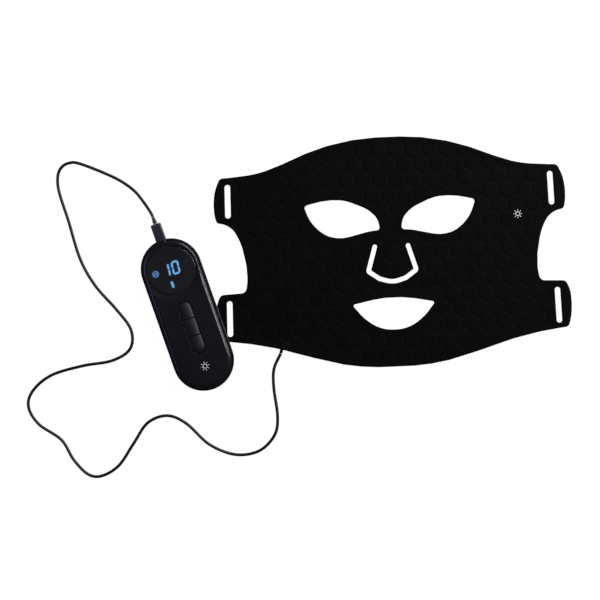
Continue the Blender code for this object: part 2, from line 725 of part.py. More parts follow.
def make_display(shop, parent):
    centre = (0, LENS_Y)
    shop.add("display_lens", cylinder(LENS_RADIUS, LENS_BOTTOM, LENS_TOP, centre, 48), "gloss", parent)
    inner, outer = ADHESIVE_RING
    low, high = LENS_BOTTOM - 2 * GAP, LENS_BOTTOM - GAP
    ring = shop.add("lens_adhesive_ring", cylinder(outer, low, high, centre, 32), "foam", parent)
    hole = cylinder(inner, low - GAP, high + GAP, centre, 32)
    shape(ring, "DIFFERENCE", shop.add("adhesive_hole", hole, parent=parent))
    shop.add("display_module", block(*DISPLAY_MODULE, 0.0015), "gloss", parent)


def make_board(shop, parent):
    outline = stadium(0.0240, 0.0690)
    board = shop.add("main_board", flat([outline], BOARD_BOTTOM, BOARD_TOP), "board", parent)
    holes = [cylinder(0.0019, BOARD_BOTTOM - GAP, BOARD_TOP + GAP, place, 12) for place in SCREW_PLACES]
    shape(board, "DIFFERENCE", shop.add("board_holes", joined(holes), parent=parent))
    shop.add("control_chip", block(*CONTROL_CHIP), "chip", parent)
    shop.add("battery", block(*BATTERY, 0.0020), "battery", parent)
    shop.add("battery_pad", block(*BATTERY_PAD), "foam", parent)
    shop.add("battery_connector", block(*BATTERY_CONNECTOR), "clear_silicone", parent)
    socket = shop.add("plug_socket", block(*PLUG_SOCKET), "metal", parent)
    shape(socket, "DIFFERENCE", shop.add("socket_opening", block(*SOCKET_OPENING), parent=parent))


def make_keys(shop, parent):
    """The three keys share one pill outline; each keeps a flange under the shell's roof."""
    half_strip = 1.5 * KEY_PITCH
    for i, name in enumerate(KEY_NAMES):
        from_middle = (1 - i) * KEY_PITCH
        y = KEY_STRIP_Y + from_middle
        frame = shop.empty(name + "_slide", (0, y, 0), parent=parent)
        pill = stadium(KEY_WIDTH / 2, half_strip, 8) - (0, from_middle)
        key = shop.add(name, flat([pill], KEY_STEM_BOTTOM, KEY_TOP), "rubber", frame)
        pill = stadium(KEY_WIDTH / 2 + KEY_FLANGE, half_strip + KEY_FLANGE, 8) - (0, from_middle)
        flange = flat([pill], KEY_FLANGE_BOTTOM, KEY_FLANGE_TOP)
        shape(key, "UNION", shop.add(name + "_flange", flange, parent=frame))
        low = -KEY_PITCH if i == 2 else GAP / 2 - KEY_PITCH / 2
        high = KEY_PITCH if i == 0 else KEY_PITCH / 2 - GAP / 2
        span = block((0.03, high - low, 0.02), (0, (low + high) / 2, KEY_STEM_BOTTOM))
        shape(key, "INTERSECT", shop.add(name + "_span", span, parent=frame))
        bevel = key.modifiers.new("crown", "BEVEL")
        bevel.width = 0.0005
        bevel.segments = 2
        bevel.limit_method = "ANGLE"
        bevel.angle_limit = math.radians(60)

        switch_bottom = BOARD_TOP + GAP
        body = block(SWITCH_SIZE, (0, y, switch_bottom + SWITCH_SIZE[2] / 2))
        switch = shop.add(name.replace("button", "switch"), body, "metal", parent)
        radius, top = SWITCH_DOME
        dome = cylinder(radius, switch_bottom + SWITCH_SIZE[2] / 2, top, (0, y), 16)
        shape(switch, "UNION", shop.add(name + "_dome", dome, parent=parent))


def make_screws(shop, parent):
    for i, place in enumerate(SCREW_PLACES):
        head = cylinder(*SCREW_HEAD, place, 16)
        screw = shop.add("case_screw_%d" % (i + 1), head, "metal", parent)
        shank = cylinder(*SCREW_SHANK, place, 12)
        shape(screw, "UNION", shop.add("shank_%d" % (i + 1), shank, parent=parent))


def make_plug(shop, parent):
    """The plug is the cord's, but lies in line with the controller."""
    length = PLUG_BODY[1]
    start = HALF_LENGTH - TOP_INSET + GAP
    body = block(PLUG_BODY, (0, start + length / 2, PLUG_HEIGHT), 0.0012)
    shell = block(PLUG_TONGUE, (0, start - GAP - PLUG_TONGUE[1] / 2, PLUG_HEIGHT))
    boot_start = start + length + GAP
    boot = cylinder(0.0023, boot_start, boot_start + 0.0060, sides=16, top_radius=0.0016)
    boot.transform(Matrix.Translation((0, 0, PLUG_HEIGHT)) @ Matrix.Rotation(math.radians(-90), 4, "X"))
    pieces = (("plug_body", body, "rubber"), ("plug_shell", shell, "metal"), ("plug_boot", boot, "rubber"))
    for name, mesh, finish in pieces:
        mesh.transform(parent.matrix_world)
        shop.add(name, mesh, finish)


def main():
    shop = Workshop()
    make_mask(shop)
    make_nose_flap(shop)
    make_cord(shop)
    controller = shop.empty("controller_frame", (*CONTROLLER_PLACE, 0), CONTROLLER_YAW)
    make_shells(shop, controller)
    make_display(shop, controller)
    make_board(shop, controller)
    make_keys(shop, controller)
    make_screws(shop, controller)
    make_plug(shop, controller)


main()
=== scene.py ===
"""Looks of the LED face mask: silicone skins, light circuits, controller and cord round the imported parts.

Metres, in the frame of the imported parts: the mask lies face side down on z = 0, with +Y towards the
forehead and +X across the mask.
"""

import json
import math

import bmesh
import bpy
import numpy as np
from mathutils import Matrix, Vector, geometry


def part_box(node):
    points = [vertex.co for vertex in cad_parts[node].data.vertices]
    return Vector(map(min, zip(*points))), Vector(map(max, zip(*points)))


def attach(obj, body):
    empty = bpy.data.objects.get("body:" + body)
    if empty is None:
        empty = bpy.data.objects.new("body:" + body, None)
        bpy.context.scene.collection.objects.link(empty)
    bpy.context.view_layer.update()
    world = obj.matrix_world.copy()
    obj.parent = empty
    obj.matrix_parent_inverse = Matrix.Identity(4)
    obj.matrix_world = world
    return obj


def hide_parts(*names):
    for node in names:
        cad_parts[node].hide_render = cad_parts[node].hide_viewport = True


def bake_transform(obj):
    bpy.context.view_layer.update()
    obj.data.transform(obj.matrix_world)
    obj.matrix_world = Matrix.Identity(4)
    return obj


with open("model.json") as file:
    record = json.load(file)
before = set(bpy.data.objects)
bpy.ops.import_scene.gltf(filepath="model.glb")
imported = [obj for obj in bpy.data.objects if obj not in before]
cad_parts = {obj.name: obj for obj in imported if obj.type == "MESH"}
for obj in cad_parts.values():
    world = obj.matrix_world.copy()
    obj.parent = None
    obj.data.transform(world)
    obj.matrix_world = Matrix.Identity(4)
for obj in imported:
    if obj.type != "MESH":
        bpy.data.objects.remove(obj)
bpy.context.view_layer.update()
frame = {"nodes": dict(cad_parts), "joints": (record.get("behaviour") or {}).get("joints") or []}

# ---- camera ----
CAMERA_PLACE = (-0.0890, -0.0654, 2.5)
CAMERA_ROLL = math.radians(-2.5)
VIEW_WIDTH = 0.5706
SENSOR_WIDTH = 36.0

# ---- mask ----
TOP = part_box("mask_front_skin")[1].z
BACK_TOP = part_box("mask_back_skin")[1].z
CIRCUIT_LOW = 0.0019
CIRCUIT_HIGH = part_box("mask_led_circuit")[1].z
LED_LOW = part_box("mask_led_circuit")[0].z
FRONT_LOW = 0.00095  # the black skin's underside, bonded to the clear one
POCKET_ROOF = 0.0025
RIM_WALL = 0.0070
HOLE_WALL = 0.0050
CIRCUIT_CLEARANCE = 0.0006
POCKET_REACH = 0.1430
EDGE_RADIUS = 0.0009
LOW_RADIUS = 0.0004

WING_HINGE_X = 0.1220
BEND_HALF = 0.0070  # silicone this far each side of a wing's hinge line bends
BEND_LINES = 15
FLAP_HINGE_Y = -0.0170
FLAP_BEND = 0.0065

LED_SIZE = 0.0030
LED_PITCH = 0.0160
LED_ROW_START = -0.0240
LED_EDGE = 0.0038
FLAP_LIGHTS = ((0.0, -0.0275), (-0.0070, -0.0365), (0.0070, -0.0365))

# honeycomb relief: distance in from a cell's edge, height against the plain sheet, spacing of points
HONEYCOMB = (
    (0.0000, -0.00016, 0.0015),
    (0.0004, -0.00011, 0.0015),
    (0.0009, -0.00001, 0.0015),
    (0.0022, 0.00004, 0.0024),
    (0.0048, 0.00007, 0.0034),
)
RELIEF_STEP = (0.0036, 0.0046)  # distances from an edge between which the sheet drops to the quilted field
RELIEF_DROP = 0.00010
RELIEF_FADE = (0.0048, 0.0080)

SLOT_WIDTH = 0.0054
SLOT_LEAN = math.radians(1.2)
STRAP_SLOTS = ((0.1536, 0.0309, 0.0320), (0.1562, -0.0806, 0.0340))

# ---- cord and gland ----
CORD_RADIUS = 0.00145
CORD_POINTS = 420
GLAND_PLACE = (-0.1085, -0.1118)
GLAND_TURN = math.radians(165)
GLAND_WIDTH = 0.0110
GLAND_DEPTH = 0.0090
GAP = 0.0003
SNUG = 0.00006  # the silicone closes round the gland with this much squeeze

# ---- outlines: (x, y, corner radius), where no radius means the largest that fits ----
# Each is the +X half, from its highest point on the midline to its lowest.
MASK_HALF = (
    (0.0000, 0.0859, None),
    (0.0220, 0.0857, None),
    (0.0450, 0.0826, None),
    (0.0680, 0.0770, None),
    (0.0880, 0.0694, None),
    (0.1080, 0.0608, None),
    (0.1260, 0.0558, None),
    (0.1430, 0.0539, None),
    (0.1605, 0.0530, 0.0050),
    (0.1658, 0.0410, None),
    (0.1673, 0.0280, None),
    (0.1668, 0.0180, None),
    (0.1650, 0.0108, 0.0040),
    (0.1570, 0.0092, None),
    (0.1495, 0.0040, None),
    (0.1436, -0.0070, None),
    (0.1395, -0.0220, None),
    (0.1378, -0.0370, None),
    (0.1382, -0.0480, None),
    (0.1402, -0.0566, 0.0055),
    (0.1640, -0.0576, 0.0050),
    (0.1680, -0.0660, None),
    (0.1692, -0.0790, None),
    (0.1680, -0.0920, None),
    (0.1652, -0.1016, 0.0045),
    (0.1480, -0.1036, None),
    (0.1250, -0.1074, None),
    (0.0950, -0.1154, None),
    (0.0650, -0.1256, None),
    (0.0330, -0.1319, None),
    (0.0000, -0.1331, None),
)
MOUTH_HALF = (
    (0.0000, -0.0666, None),
    (0.0140, -0.0673, None),
    (0.0260, -0.0696, None),
    (0.0394, -0.0724, 0.0016),
    (0.0347, -0.0786, None),
    (0.0286, -0.0856, None),
    (0.0192, -0.0928, None),
    (0.0095, -0.0967, None),
    (0.0000, -0.0975, None),
)
EYE = (
    (0.0815, 0.0232, 0.0026),
    (0.0700, 0.0264, None),
    (0.0600, 0.0278, None),
    (0.0510, 0.0280, None),
    (0.0430, 0.0271, None),
    (0.0300, 0.0224, None),
    (0.0195, 0.0168, None),
    (0.0118, 0.0085, None),
    (0.0101, -0.0022, 0.0028),
    (0.0210, -0.0030, None),
    (0.0330, -0.0062, None),
    (0.0470, -0.0090, None),
    (0.0600, -0.0065, None),
    (0.0700, 0.0010, None),
    (0.0772, 0.0105, None),
)
SLIT_HALF = ((0.0158, -0.0180), (0.0228, -0.0412), (0.0125, -0.0485), (0.0000, -0.0523))
SLIT_WIDTH = 0.0043
SLIT_CORNER = 0.0040

# the cord's way, from the plug down to the floor and round to the mask; heights fall to the floor
CORD_FALL = (0.0158, 0.0149, 0.0108, 0.0058, 0.0023)
CORD_WAY = (
    (-0.2244, 0.0186), (-0.2263, 0.0230), (-0.2320, 0.0322), (-0.2400, 0.0432), (-0.2500, 0.0520),
    (-0.2640, 0.0605), (-0.2925, 0.0732), (-0.3035, 0.0740), (-0.3110, 0.0692), (-0.3141, 0.0600),
    (-0.3130, 0.0460), (-0.3055, 0.0190), (-0.2960, -0.0175), (-0.2825, -0.0438), (-0.2640, -0.0665),
    (-0.2508, -0.0865), (-0.2524, -0.1048), (-0.2700, -0.1152), (-0.2985, -0.1190), (-0.3283, -0.1266),
    (-0.3464, -0.1405), (-0.3512, -0.1556), (-0.3422, -0.1724), (-0.3214, -0.1882), (-0.3105, -0.2076),
    (-0.2975, -0.2220), (-0.2846, -0.2242), (-0.2680, -0.2152), (-0.2530, -0.1949), (-0.2388, -0.1758),
    (-0.2200, -0.1697), (-0.2020, -0.1780), (-0.1811, -0.1987), (-0.1570, -0.2094), (-0.1342, -0.2070),
    (-0.1188, -0.1928), (-0.1151, -0.1750), (-0.1175, -0.1480), (-0.1166, -0.1300), (-0.1095, -0.1155),
)

# ---- controller, in its own frame: +Y towards the plug ----
case_low, case_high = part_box("controller_bottom_shell")
unplug_axis = next(j for j in frame["joints"] if j["name"] == "controller_unplug")["axis"]
CONTROLLER_YAW = math.atan2(unplug_axis[0], -unplug_axis[1])
case_centre = ((case_low + case_high) / 2).xy
CONTROLLER = Matrix.Translation((*case_centre, 0)) @ Matrix.Rotation(CONTROLLER_YAW, 4, "Z")
HALF_WIDTH = 0.0290
HALF_LENGTH = 0.0748
RIM_TOP = 0.0130
FACE_TOP = 0.0200
SHOULDER = 0.0042
TOP_INSET = 0.0019
WALL = 0.0018
FOOT_INSET = 0.0138
HULL_TOP = 0.0102
SKIRT_BOTTOM = 0.0104
LEDGE = 0.0088
RIM_WALL_TOP = 0.0014
LENS_Y = 0.0440
LENS_RADIUS = 0.0228
LENS_TOP = 0.0194
LENS_BOTTOM = 0.0184
LENS_ROUNDING = 0.0004
DISH_RADIUS = 0.0290
DISH_LOW = 0.0193
KEY_STRIP_Y = -0.0130
KEY_PITCH = 0.0168
KEY_STRIP_HALF = 1.5 * KEY_PITCH
KEY_WIDTH = 0.0125
KEY_TOP = 0.0207
KEY_CROWN = 0.0012
KEY_ROUNDING = 0.0006
KEY_BOTTOM = 0.0166
KEY_NAMES = ("power", "mode", "level")
PLUG_HEIGHT = 0.0158
PLUG_BODY = (0.0100, 0.0174, 0.0050)
PLUG_TONGUE = (0.00825, 0.0063, 0.0022)
SINK_RADIUS = 0.0030
SINK_DEPTH = 0.0016
SCREW_PLACES = ((-0.0118, 0.0175), (0.0118, 0.0175), (-0.0118, -0.0560), (0.0118, -0.0560))

# the display's lit marks, in the controller's frame
DIGIT_HALF = (0.0028, 0.0055)  # half the distance between a digit's upright strokes, and its level ones
DIGIT_STROKE = 0.0017
DIGIT_SLANT = 0.09
ICON_STROKE = (0.0009, 0.0008)  # the ring's, and the two bars' in it
ONE_PLACE = (-0.0021, 0.0456)
ZERO_PLACE = (0.0046, 0.0456)
RING_PLACE = (-0.0153, 0.0456)
RING_RADIUS = 0.0026
BAR_PLACE = (-0.0034, 0.0313)
BAR_SIZE = (0.0022, 0.0062)
DOT_PLACE = (0.0163, 0.0475)
HALO = 0.0010
MARK_HEIGHT = 0.00004  # lit and printed marks stand this proud

SUN_RADIUS = 0.0042
CHEEK_MARK = (0.1212, 0.0075)
CASE_MARK_Y = -0.0515


# ---- outlines as points ----
FIT = 0.48  # share of an edge that one rounded corner may take
ARC_STEP = math.radians(6)
OFFSET_STEP = 0.0015
NEAR_TURN = 2 * math.pi * 0.999  # a ring drawn as a band that stops just short of its start


def rounded(corners):
    """The closed ring of points through (x, y, radius) corners, each on an arc unless its radius is 0."""
    points = []
    for i, (x, y, radius) in enumerate(corners):
        here = Vector((x, y))
        before = Vector(corners[i - 1][:2]) - here
        after = Vector(corners[(i + 1) % len(corners)][:2]) - here
        turn = math.pi - before.angle(after)
        if radius == 0 or turn < math.radians(1):
            points += [here] if turn > math.radians(1) else []
            continue
        reach = FIT * min(before.length, after.length)
        if radius:
            reach = min(reach, radius * math.tan(turn / 2))
        radius = reach / math.tan(turn / 2)
        middle = (before.normalized() + after.normalized()).normalized()
        centre = here + middle * math.hypot(reach, radius)
        arm = here + before.normalized() * reach - centre
        side = -1 if before.cross(after) > 0 else 1
        steps = max(1, round(turn / ARC_STEP))
        for k in range(steps + 1):
            points.append(centre + Matrix.Rotation(side * turn * k / steps, 2) @ arm)
    return np.array(points)


def mirrored(half):
    """The whole ring of corners from a half that starts and ends on the midline."""
    return tuple(half) + tuple((-x, y, r) for x, y, r in reversed(half[1:-1]))


def flipped(points):
    """The same ring on the other side of the midline."""
    return points[::-1] * np.array((-1.0, 1.0))


def subdivided(points, step):
    """The ring with points added so that no two neighbours are further apart than step."""
    ring = []
    for here, after in zip(points, np.roll(points, -1, 0)):
        parts = max(1, math.ceil(np.linalg.norm(after - here) / step))
        ring += [here + (after - here) * k / parts for k in range(parts)]
    return np.array(ring)


def thinned(points, tolerance):
    """The ring without the points that lie within tolerance of a straight run between their neighbours."""
    furthest = np.argmax(np.linalg.norm(points - points.mean(0), axis=1))
    points = np.roll(points, -furthest, 0)
    kept = [points[0]]
    start = 0
    for end in range(2, len(points) + 1):
        run = points[end % len(points)] - points[start]
        between = points[start + 1 : end] - points[start]
        away = abs(between[:, 0] * run[1] - between[:, 1] * run[0]) / np.linalg.norm(run)
        if away.max() > tolerance:
            start = end - 1
            kept.append(points[start])
    return np.array(kept)


def outward(ring):
    """Normals out of a ring, lengthened at its corners so that an offset keeps its distance."""
    ahead = np.roll(ring, -1, 0) - ring
    ahead /= np.linalg.norm(ahead, axis=1)[:, None]
    tangent = ahead + np.roll(ahead, 1, 0)
    tangent /= np.linalg.norm(tangent, axis=1)[:, None]
    area = np.sum(ring[:, 0] * np.roll(ring[:, 1], -1) - ring[:, 1] * np.roll(ring[:, 0], -1))
    normal = np.stack((tangent[:, 1], -tangent[:, 0]), 1) * np.sign(area)
    return normal / np.einsum("ij,ij->i", tangent, ahead)[:, None].clip(0.6)


def distance(points, rings):
    """Each point's distance from the nearest of the rings."""
    start = np.concatenate(rings)
    run = np.concatenate([np.roll(r, -1, 0) - r for r in rings])
    square = np.einsum("ij,ij->i", run, run)
    found = []
    for some in np.array_split(points, max(1, len(points) // 2000)):
        away = some[:, None] - start[None]
        share = np.clip(np.einsum("ijk,jk->ij", away, run) / square, 0, 1)
        found.append(np.linalg.norm(away - share[:, :, None] * run[None], axis=2).min(1))
    return np.concatenate(found)


def within(points, rings):
    """Whether each point is inside the rings, where a ring inside another is a hole."""
    start = np.concatenate(rings)
    after = np.concatenate([np.roll(r, -1, 0) for r in rings])
    rise = after[:, 1] - start[:, 1]
    rise = np.where(rise == 0, 1.0, rise)
    found = []
    for some in np.array_split(points, max(1, len(points) // 2000)):
        crosses = (start[None, :, 1] > some[:, None, 1]) != (after[None, :, 1] > some[:, None, 1])
        at = start[:, 0] + (some[:, None, 1] - start[:, 1]) / rise * (after[:, 0] - start[:, 0])
        found.append(np.count_nonzero(crosses & (at > some[:, None, 0]), axis=1) % 2 == 1)
    return np.concatenate(found)


def offset(points, reach):
    """The ring moved outwards by reach, or inwards if negative, without the loops at tight corners."""
    points = subdivided(points, OFFSET_STEP)
    moved = points + outward(points) * reach
    clear = distance(moved, [points])
    return thinned(moved[clear > abs(reach) * 0.99], OFFSET_STEP / 40)


def stadium(half_width, half_length, steps=12):
    """A ring with straight sides and half-round ends, long in Y."""
    straight = half_length - half_width
    angles = np.linspace(0, math.pi, steps + 1)
    arc = np.stack((np.cos(angles), np.sin(angles)), 1) * half_width
    return np.concatenate((arc + (0, straight), -arc - (0, straight)))


def circle(radius, centre=(0, 0), steps=48):
    angles = np.arange(steps) * 2 * math.pi / steps
    return np.stack((np.cos(angles), np.sin(angles)), 1) * radius + centre


def slot(x, y, length, width, lean):
    """A strap slot's ring, its lower end leaning away from the midline."""
    turn = np.array(Matrix.Rotation(lean, 2))
    return stadium(width / 2, length / 2, 16) @ turn.T + (x, y)


def slit_side(reach):
    """The half slit's centre line moved outwards by reach, from its end to the midline."""
    line = [Vector(p) for p in SLIT_HALF]
    points = []
    for i, here in enumerate(line):
        before = (here - line[i - 1]).normalized() if i else None
        after = (line[i + 1] - here).normalized() if i + 1 < len(line) else Vector((-1, 0))
        before = before or after
        middle = (before + after).normalized()
        side = Vector((-middle.y, middle.x))
        points.append(here + side * reach / middle.dot(after))
    return points


def slit_ring():
    """The whole slit round the nose flap, a band of even width with round ends."""
    outer = slit_side(SLIT_WIDTH / 2)
    inner = slit_side(-SLIT_WIDTH / 2)
    tip = Vector(SLIT_HALF[0])
    back = (tip - Vector(SLIT_HALF[1])).normalized() * SLIT_WIDTH / 2
    half = [(outer[3].x, outer[3].y, None)]
    half += [(outer[i].x, outer[i].y, SLIT_CORNER) for i in (2, 1)]
    half += [(*(outer[0] + back), None), (*(inner[0] + back), None)]
    half += [(inner[i].x, inner[i].y, 0.0015) for i in (1, 2)]
    half += [(inner[3].x, inner[3].y, None)]
    return rounded(tuple(half) + tuple((-x, y, r) for x, y, r in reversed(half[1:-1])))


# ---- materials ----
def finish(name, colour, roughness, metallic=0.0, spread=0.2, grain=0.00002, grain_size=0.0005, **sockets):
    """A Principled material whose colour and roughness wander a little, with a fine grain on its surface."""
    made = bpy.data.materials.new(name)
    made.use_nodes = True
    tree = made.node_tree
    shader = tree.nodes["Principled BSDF"]
    shader.inputs["Metallic"].default_value = metallic
    for socket, value in sockets.items():
        shader.inputs[socket.replace("_", " ")].default_value = value
    place = tree.nodes.new("ShaderNodeTexCoord")

    cloud = tree.nodes.new("ShaderNodeTexNoise")
    cloud.inputs["Scale"].default_value = 60
    cloud.inputs["Detail"].default_value = 5
    tree.links.new(place.outputs["Object"], cloud.inputs["Vector"])
    ramp = tree.nodes.new("ShaderNodeValToRGB")
    ramp.color_ramp.elements[0].position = 0.3
    ramp.color_ramp.elements[1].position = 0.7
    ramp.color_ramp.elements[0].color = (*(c * (1 - spread) for c in colour), 1)
    ramp.color_ramp.elements[1].color = (*(min(1, c * (1 + spread)) for c in colour), 1)
    tree.links.new(cloud.outputs["Fac"], ramp.inputs["Fac"])
    tree.links.new(ramp.outputs["Color"], shader.inputs["Base Color"])

    fine = tree.nodes.new("ShaderNodeTexNoise")
    fine.inputs["Scale"].default_value = 1 / grain_size
    fine.inputs["Detail"].default_value = 3
    tree.links.new(place.outputs["Object"], fine.inputs["Vector"])
    rough = tree.nodes.new("ShaderNodeMapRange")
    rough.inputs["To Min"].default_value = roughness * 0.85
    rough.inputs["To Max"].default_value = min(1, roughness * 1.15)
    tree.links.new(fine.outputs["Fac"], rough.inputs["Value"])
    tree.links.new(rough.outputs["Result"], shader.inputs["Roughness"])
    bump = tree.nodes.new("ShaderNodeBump")
    bump.inputs["Distance"].default_value = grain
    bump.inputs["Strength"].default_value = 0.6
    tree.links.new(fine.outputs["Fac"], bump.inputs["Height"])
    tree.links.new(bump.outputs["Normal"], shader.inputs["Normal"])
    return made


FINISHES = {
    "silicone": finish("silicone", (0.0015, 0.0015, 0.0015), 0.55, grain=0.00003, Specular_IOR_Level=0.03),
    "clear": finish(
        "clear_silicone", (0.86, 0.87, 0.86), 0.22, spread=0.03, Transmission_Weight=0.85, IOR=1.41
    ),
    "flex": finish("flex_circuit", (0.74, 0.72, 0.66), 0.5, spread=0.06),
    "copper": finish("trace_copper", (0.78, 0.52, 0.30), 0.35, metallic=0.9, spread=0.1),
    "led_package": finish("led_package", (0.82, 0.82, 0.80), 0.4, spread=0.04),
    "led_lens": finish("led_lens", (0.80, 0.74, 0.42), 0.12, spread=0.08, Coat_Weight=0.6),
    "cord": finish("cord_rubber", (0.004, 0.004, 0.006), 0.42, grain=0.00003, Specular_IOR_Level=0.28),
    "boot": finish("boot_rubber", (0.012, 0.011, 0.020), 0.5, Specular_IOR_Level=0.4),
    "plug": finish("plug_plastic", (0.013, 0.012, 0.021), 0.38, Specular_IOR_Level=0.5),
    "plug_metal": finish("plug_metal", (0.62, 0.62, 0.64), 0.28, metallic=1.0, spread=0.08),
    "shell": finish(
        "shell_plastic", (0.0042, 0.0040, 0.0056), 0.26, grain=0.000012, Specular_IOR_Level=0.40
    ),
    "key": finish("key_rubber", (0.0052, 0.0050, 0.0070), 0.46, Specular_IOR_Level=0.24),
    "key_mark": finish("key_mark", (0.012, 0.011, 0.015), 0.6, Specular_IOR_Level=0.2),
    "seal": finish("seal_rubber", (0.02, 0.02, 0.02), 0.7),
    "steel": finish("screw_steel", (0.52, 0.52, 0.54), 0.3, metallic=1.0, spread=0.12),
    "foam": finish("foam", (0.06, 0.06, 0.06), 0.9, grain=0.0001),
    "board": finish("board", (0.02, 0.15, 0.06), 0.42, spread=0.15),
    "chip": finish("chip", (0.02, 0.02, 0.02), 0.45),
    "battery": finish("battery_wrap", (0.40, 0.42, 0.46), 0.35, metallic=0.5),
    "white_plastic": finish("connector_plastic", (0.78, 0.76, 0.70), 0.4, spread=0.05),
    "print": finish("printed_mark", (0.55, 0.55, 0.56), 0.5, spread=0.05),
    "gloss": finish("display_gloss", (0.0090, 0.0088, 0.0105), 0.10, grain=0.0, Specular_IOR_Level=0.4),
}


def lit(name, colour, strength):
    """A glowing finish whose light varies a little from place to place."""
    made = finish(name, tuple(c * 0.03 for c in colour), 0.3, spread=0.05)
    tree = made.node_tree
    shader = tree.nodes["Principled BSDF"]
    shader.inputs["Emission Strength"].default_value = strength
    cloud = tree.nodes.new("ShaderNodeTexNoise")
    cloud.inputs["Scale"].default_value = 300
    ramp = tree.nodes.new("ShaderNodeValToRGB")
    ramp.color_ramp.elements[0].color = (*(c * 0.8 for c in colour), 1)
    ramp.color_ramp.elements[1].color = (*colour, 1)
    tree.links.new(cloud.outputs["Fac"], ramp.inputs["Fac"])
    tree.links.new(ramp.outputs["Color"], shader.inputs["Emission Color"])
    return made


FINISHES["lit"] = lit("display_light", (0.20, 0.44, 0.72), 1.0)
FINISHES["lit_pale"] = lit("display_icon_light", (0.13, 0.24, 0.42), 1.0)
FINISHES["glow"] = lit("display_glow", (0.003, 0.025, 0.082), 1.0)


# ---- mesh work ----
def place(mesh, name, looks, smooth=40):
    """An object of the mesh in the scene, shaded smooth but for edges sharper than smooth degrees."""
    for look in [looks] if isinstance(looks, str) else looks:
        mesh.materials.append(FINISHES[look])
    mesh.shade_smooth()
    mesh.set_sharp_from_angle(angle=math.radians(smooth))
    made = bpy.data.objects.new(name, mesh)
    bpy.context.scene.collection.objects.link(made)
    return made


def mesh_of(form):
    """A mesh of the bmesh, its faces turned out."""
    bmesh.ops.recalc_face_normals(form, faces=form.faces)
    mesh = bpy.data.meshes.new("piece")
    form.to_mesh(mesh)
    form.free()
    return mesh


def strip(form, upper, lower):
    """Quads between two rings of the same number of vertices."""
    for i in range(len(upper)):
        j = (i + 1) % len(upper)
        form.faces.new((upper[i], upper[j], lower[j], lower[i]))


def fill(form, loops, spots=()):
    """Triangles between loops, each its flat points and their vertices, through extra (x, y, z) spots."""
    held = [v for _, verts in loops for v in verts]
    points = [Vector(p) for ring, _ in loops for p in ring]
    edges = []
    for ring, _ in loops:
        start = len(edges)
        edges += [(start + i, start + (i + 1) % len(ring)) for i in range(len(ring))]
    on_rings = len(points)
    for spot in spots:
        held.append(form.verts.new(spot))
        points.append(Vector(spot[:2]))
    _, _, faces, origins = geometry.delaunay_2d_cdt(points, edges, [], 0, 1e-8)[:4]
    corners = np.array([[origins[k][0] for k in face] for face in faces])
    flat = np.array([p[:] for p in points])
    unsure = (corners < on_rings).all(1)
    keep = ~unsure
    keep[unsure] = within(flat[corners[unsure]].mean(1), [np.array(ring) for ring, _ in loops])
    for a, b, c in corners[keep]:
        form.faces.new((held[a], held[b], held[c]))


def sheet(rings, edge, spots=(), pocket=None):
    """A closed sheet: its outline and holes, the (inset, height) steps of its edge from the top down, and
    its free top points. A pocket is rings sunk into its underside, and their height."""
    form = bmesh.new()
    tops, bottoms = [], []
    for i, ring in enumerate(rings):
        into = outward(ring) * (1 if i else -1)
        rows = []
        for inset, height in edge:
            rows.append([form.verts.new((x, y, height)) for x, y in ring + into * inset])
        for upper, lower in zip(rows, rows[1:]):
            strip(form, upper, lower)
        tops.append((ring + into * edge[0][0], rows[0]))
        bottoms.append((ring + into * edge[-1][0], rows[-1]))
    fill(form, tops, spots)
    if pocket:
        low, high = [], []
        for ring in pocket[0]:
            low.append((ring, [form.verts.new((x, y, edge[-1][1])) for x, y in ring]))
            high.append((ring, [form.verts.new((x, y, pocket[1])) for x, y in ring]))
            strip(form, low[-1][1], high[-1][1])
        fill(form, bottoms + low)
        fill(form, high)
    else:
        fill(form, bottoms)
    bmesh.ops.recalc_face_normals(form, faces=form.faces)
    return form


def soft_edge(top, radius, bottom, low_radius=0.0, steps=5):
    """Steps of a sheet's edge: rounded at the top, and at the bottom too if that has a radius."""
    edge = []
    for k in range(steps + 1):
        angle = math.pi / 2 * k / steps
        edge.append((radius * (1 - math.sin(angle)), top - radius * (1 - math.cos(angle))))
    if low_radius:
        for k in range(4):
            angle = math.pi / 2 * k / 3
            edge.append((low_radius * (1 - math.cos(angle)), bottom + low_radius * (1 - math.sin(angle))))
    else:
        edge.append((0.0, bottom))
    return edge


def cut(form, point, normal, side=0):
    """Edges along a plane, keeping only what is behind its normal if side is 1, or before it if -1."""
    everything = form.verts[:] + form.edges[:] + form.faces[:]
    bmesh.ops.bisect_plane(
        form,
        geom=everything,
        dist=1e-7,
        plane_co=point,
        plane_no=normal,
        clear_outer=side > 0,
        clear_inner=side < 0,
    )


def capped(form):
    """The same bmesh with its open loops closed."""
    loops = [e for e in form.edges if e.is_boundary]
    bmesh.ops.holes_fill(form, edges=loops, sides=0)
    return form


def bend_lines(form):
    """Edges across the stretches that bend, so that they bend in a curve."""
    for x in np.linspace(WING_HINGE_X - BEND_HALF, WING_HINGE_X + BEND_HALF, BEND_LINES):
        cut(form, (x, 0, 0), (1, 0, 0))
        cut(form, (-x, 0, 0), (1, 0, 0))


def block(size, centre, bevel=0.0, segments=3):
    """A box mesh with all its edges rounded if a bevel is given."""
    form = bmesh.new()
    bmesh.ops.create_cube(form, size=1)
    bmesh.ops.scale(form, vec=size, verts=form.verts)
    if bevel:
        edges = form.edges[:]
        bmesh.ops.bevel(form, geom=edges, offset=bevel, segments=segments, profile=0.5, affect="EDGES")
    bmesh.ops.translate(form, vec=centre, verts=form.verts)
    return mesh_of(form)


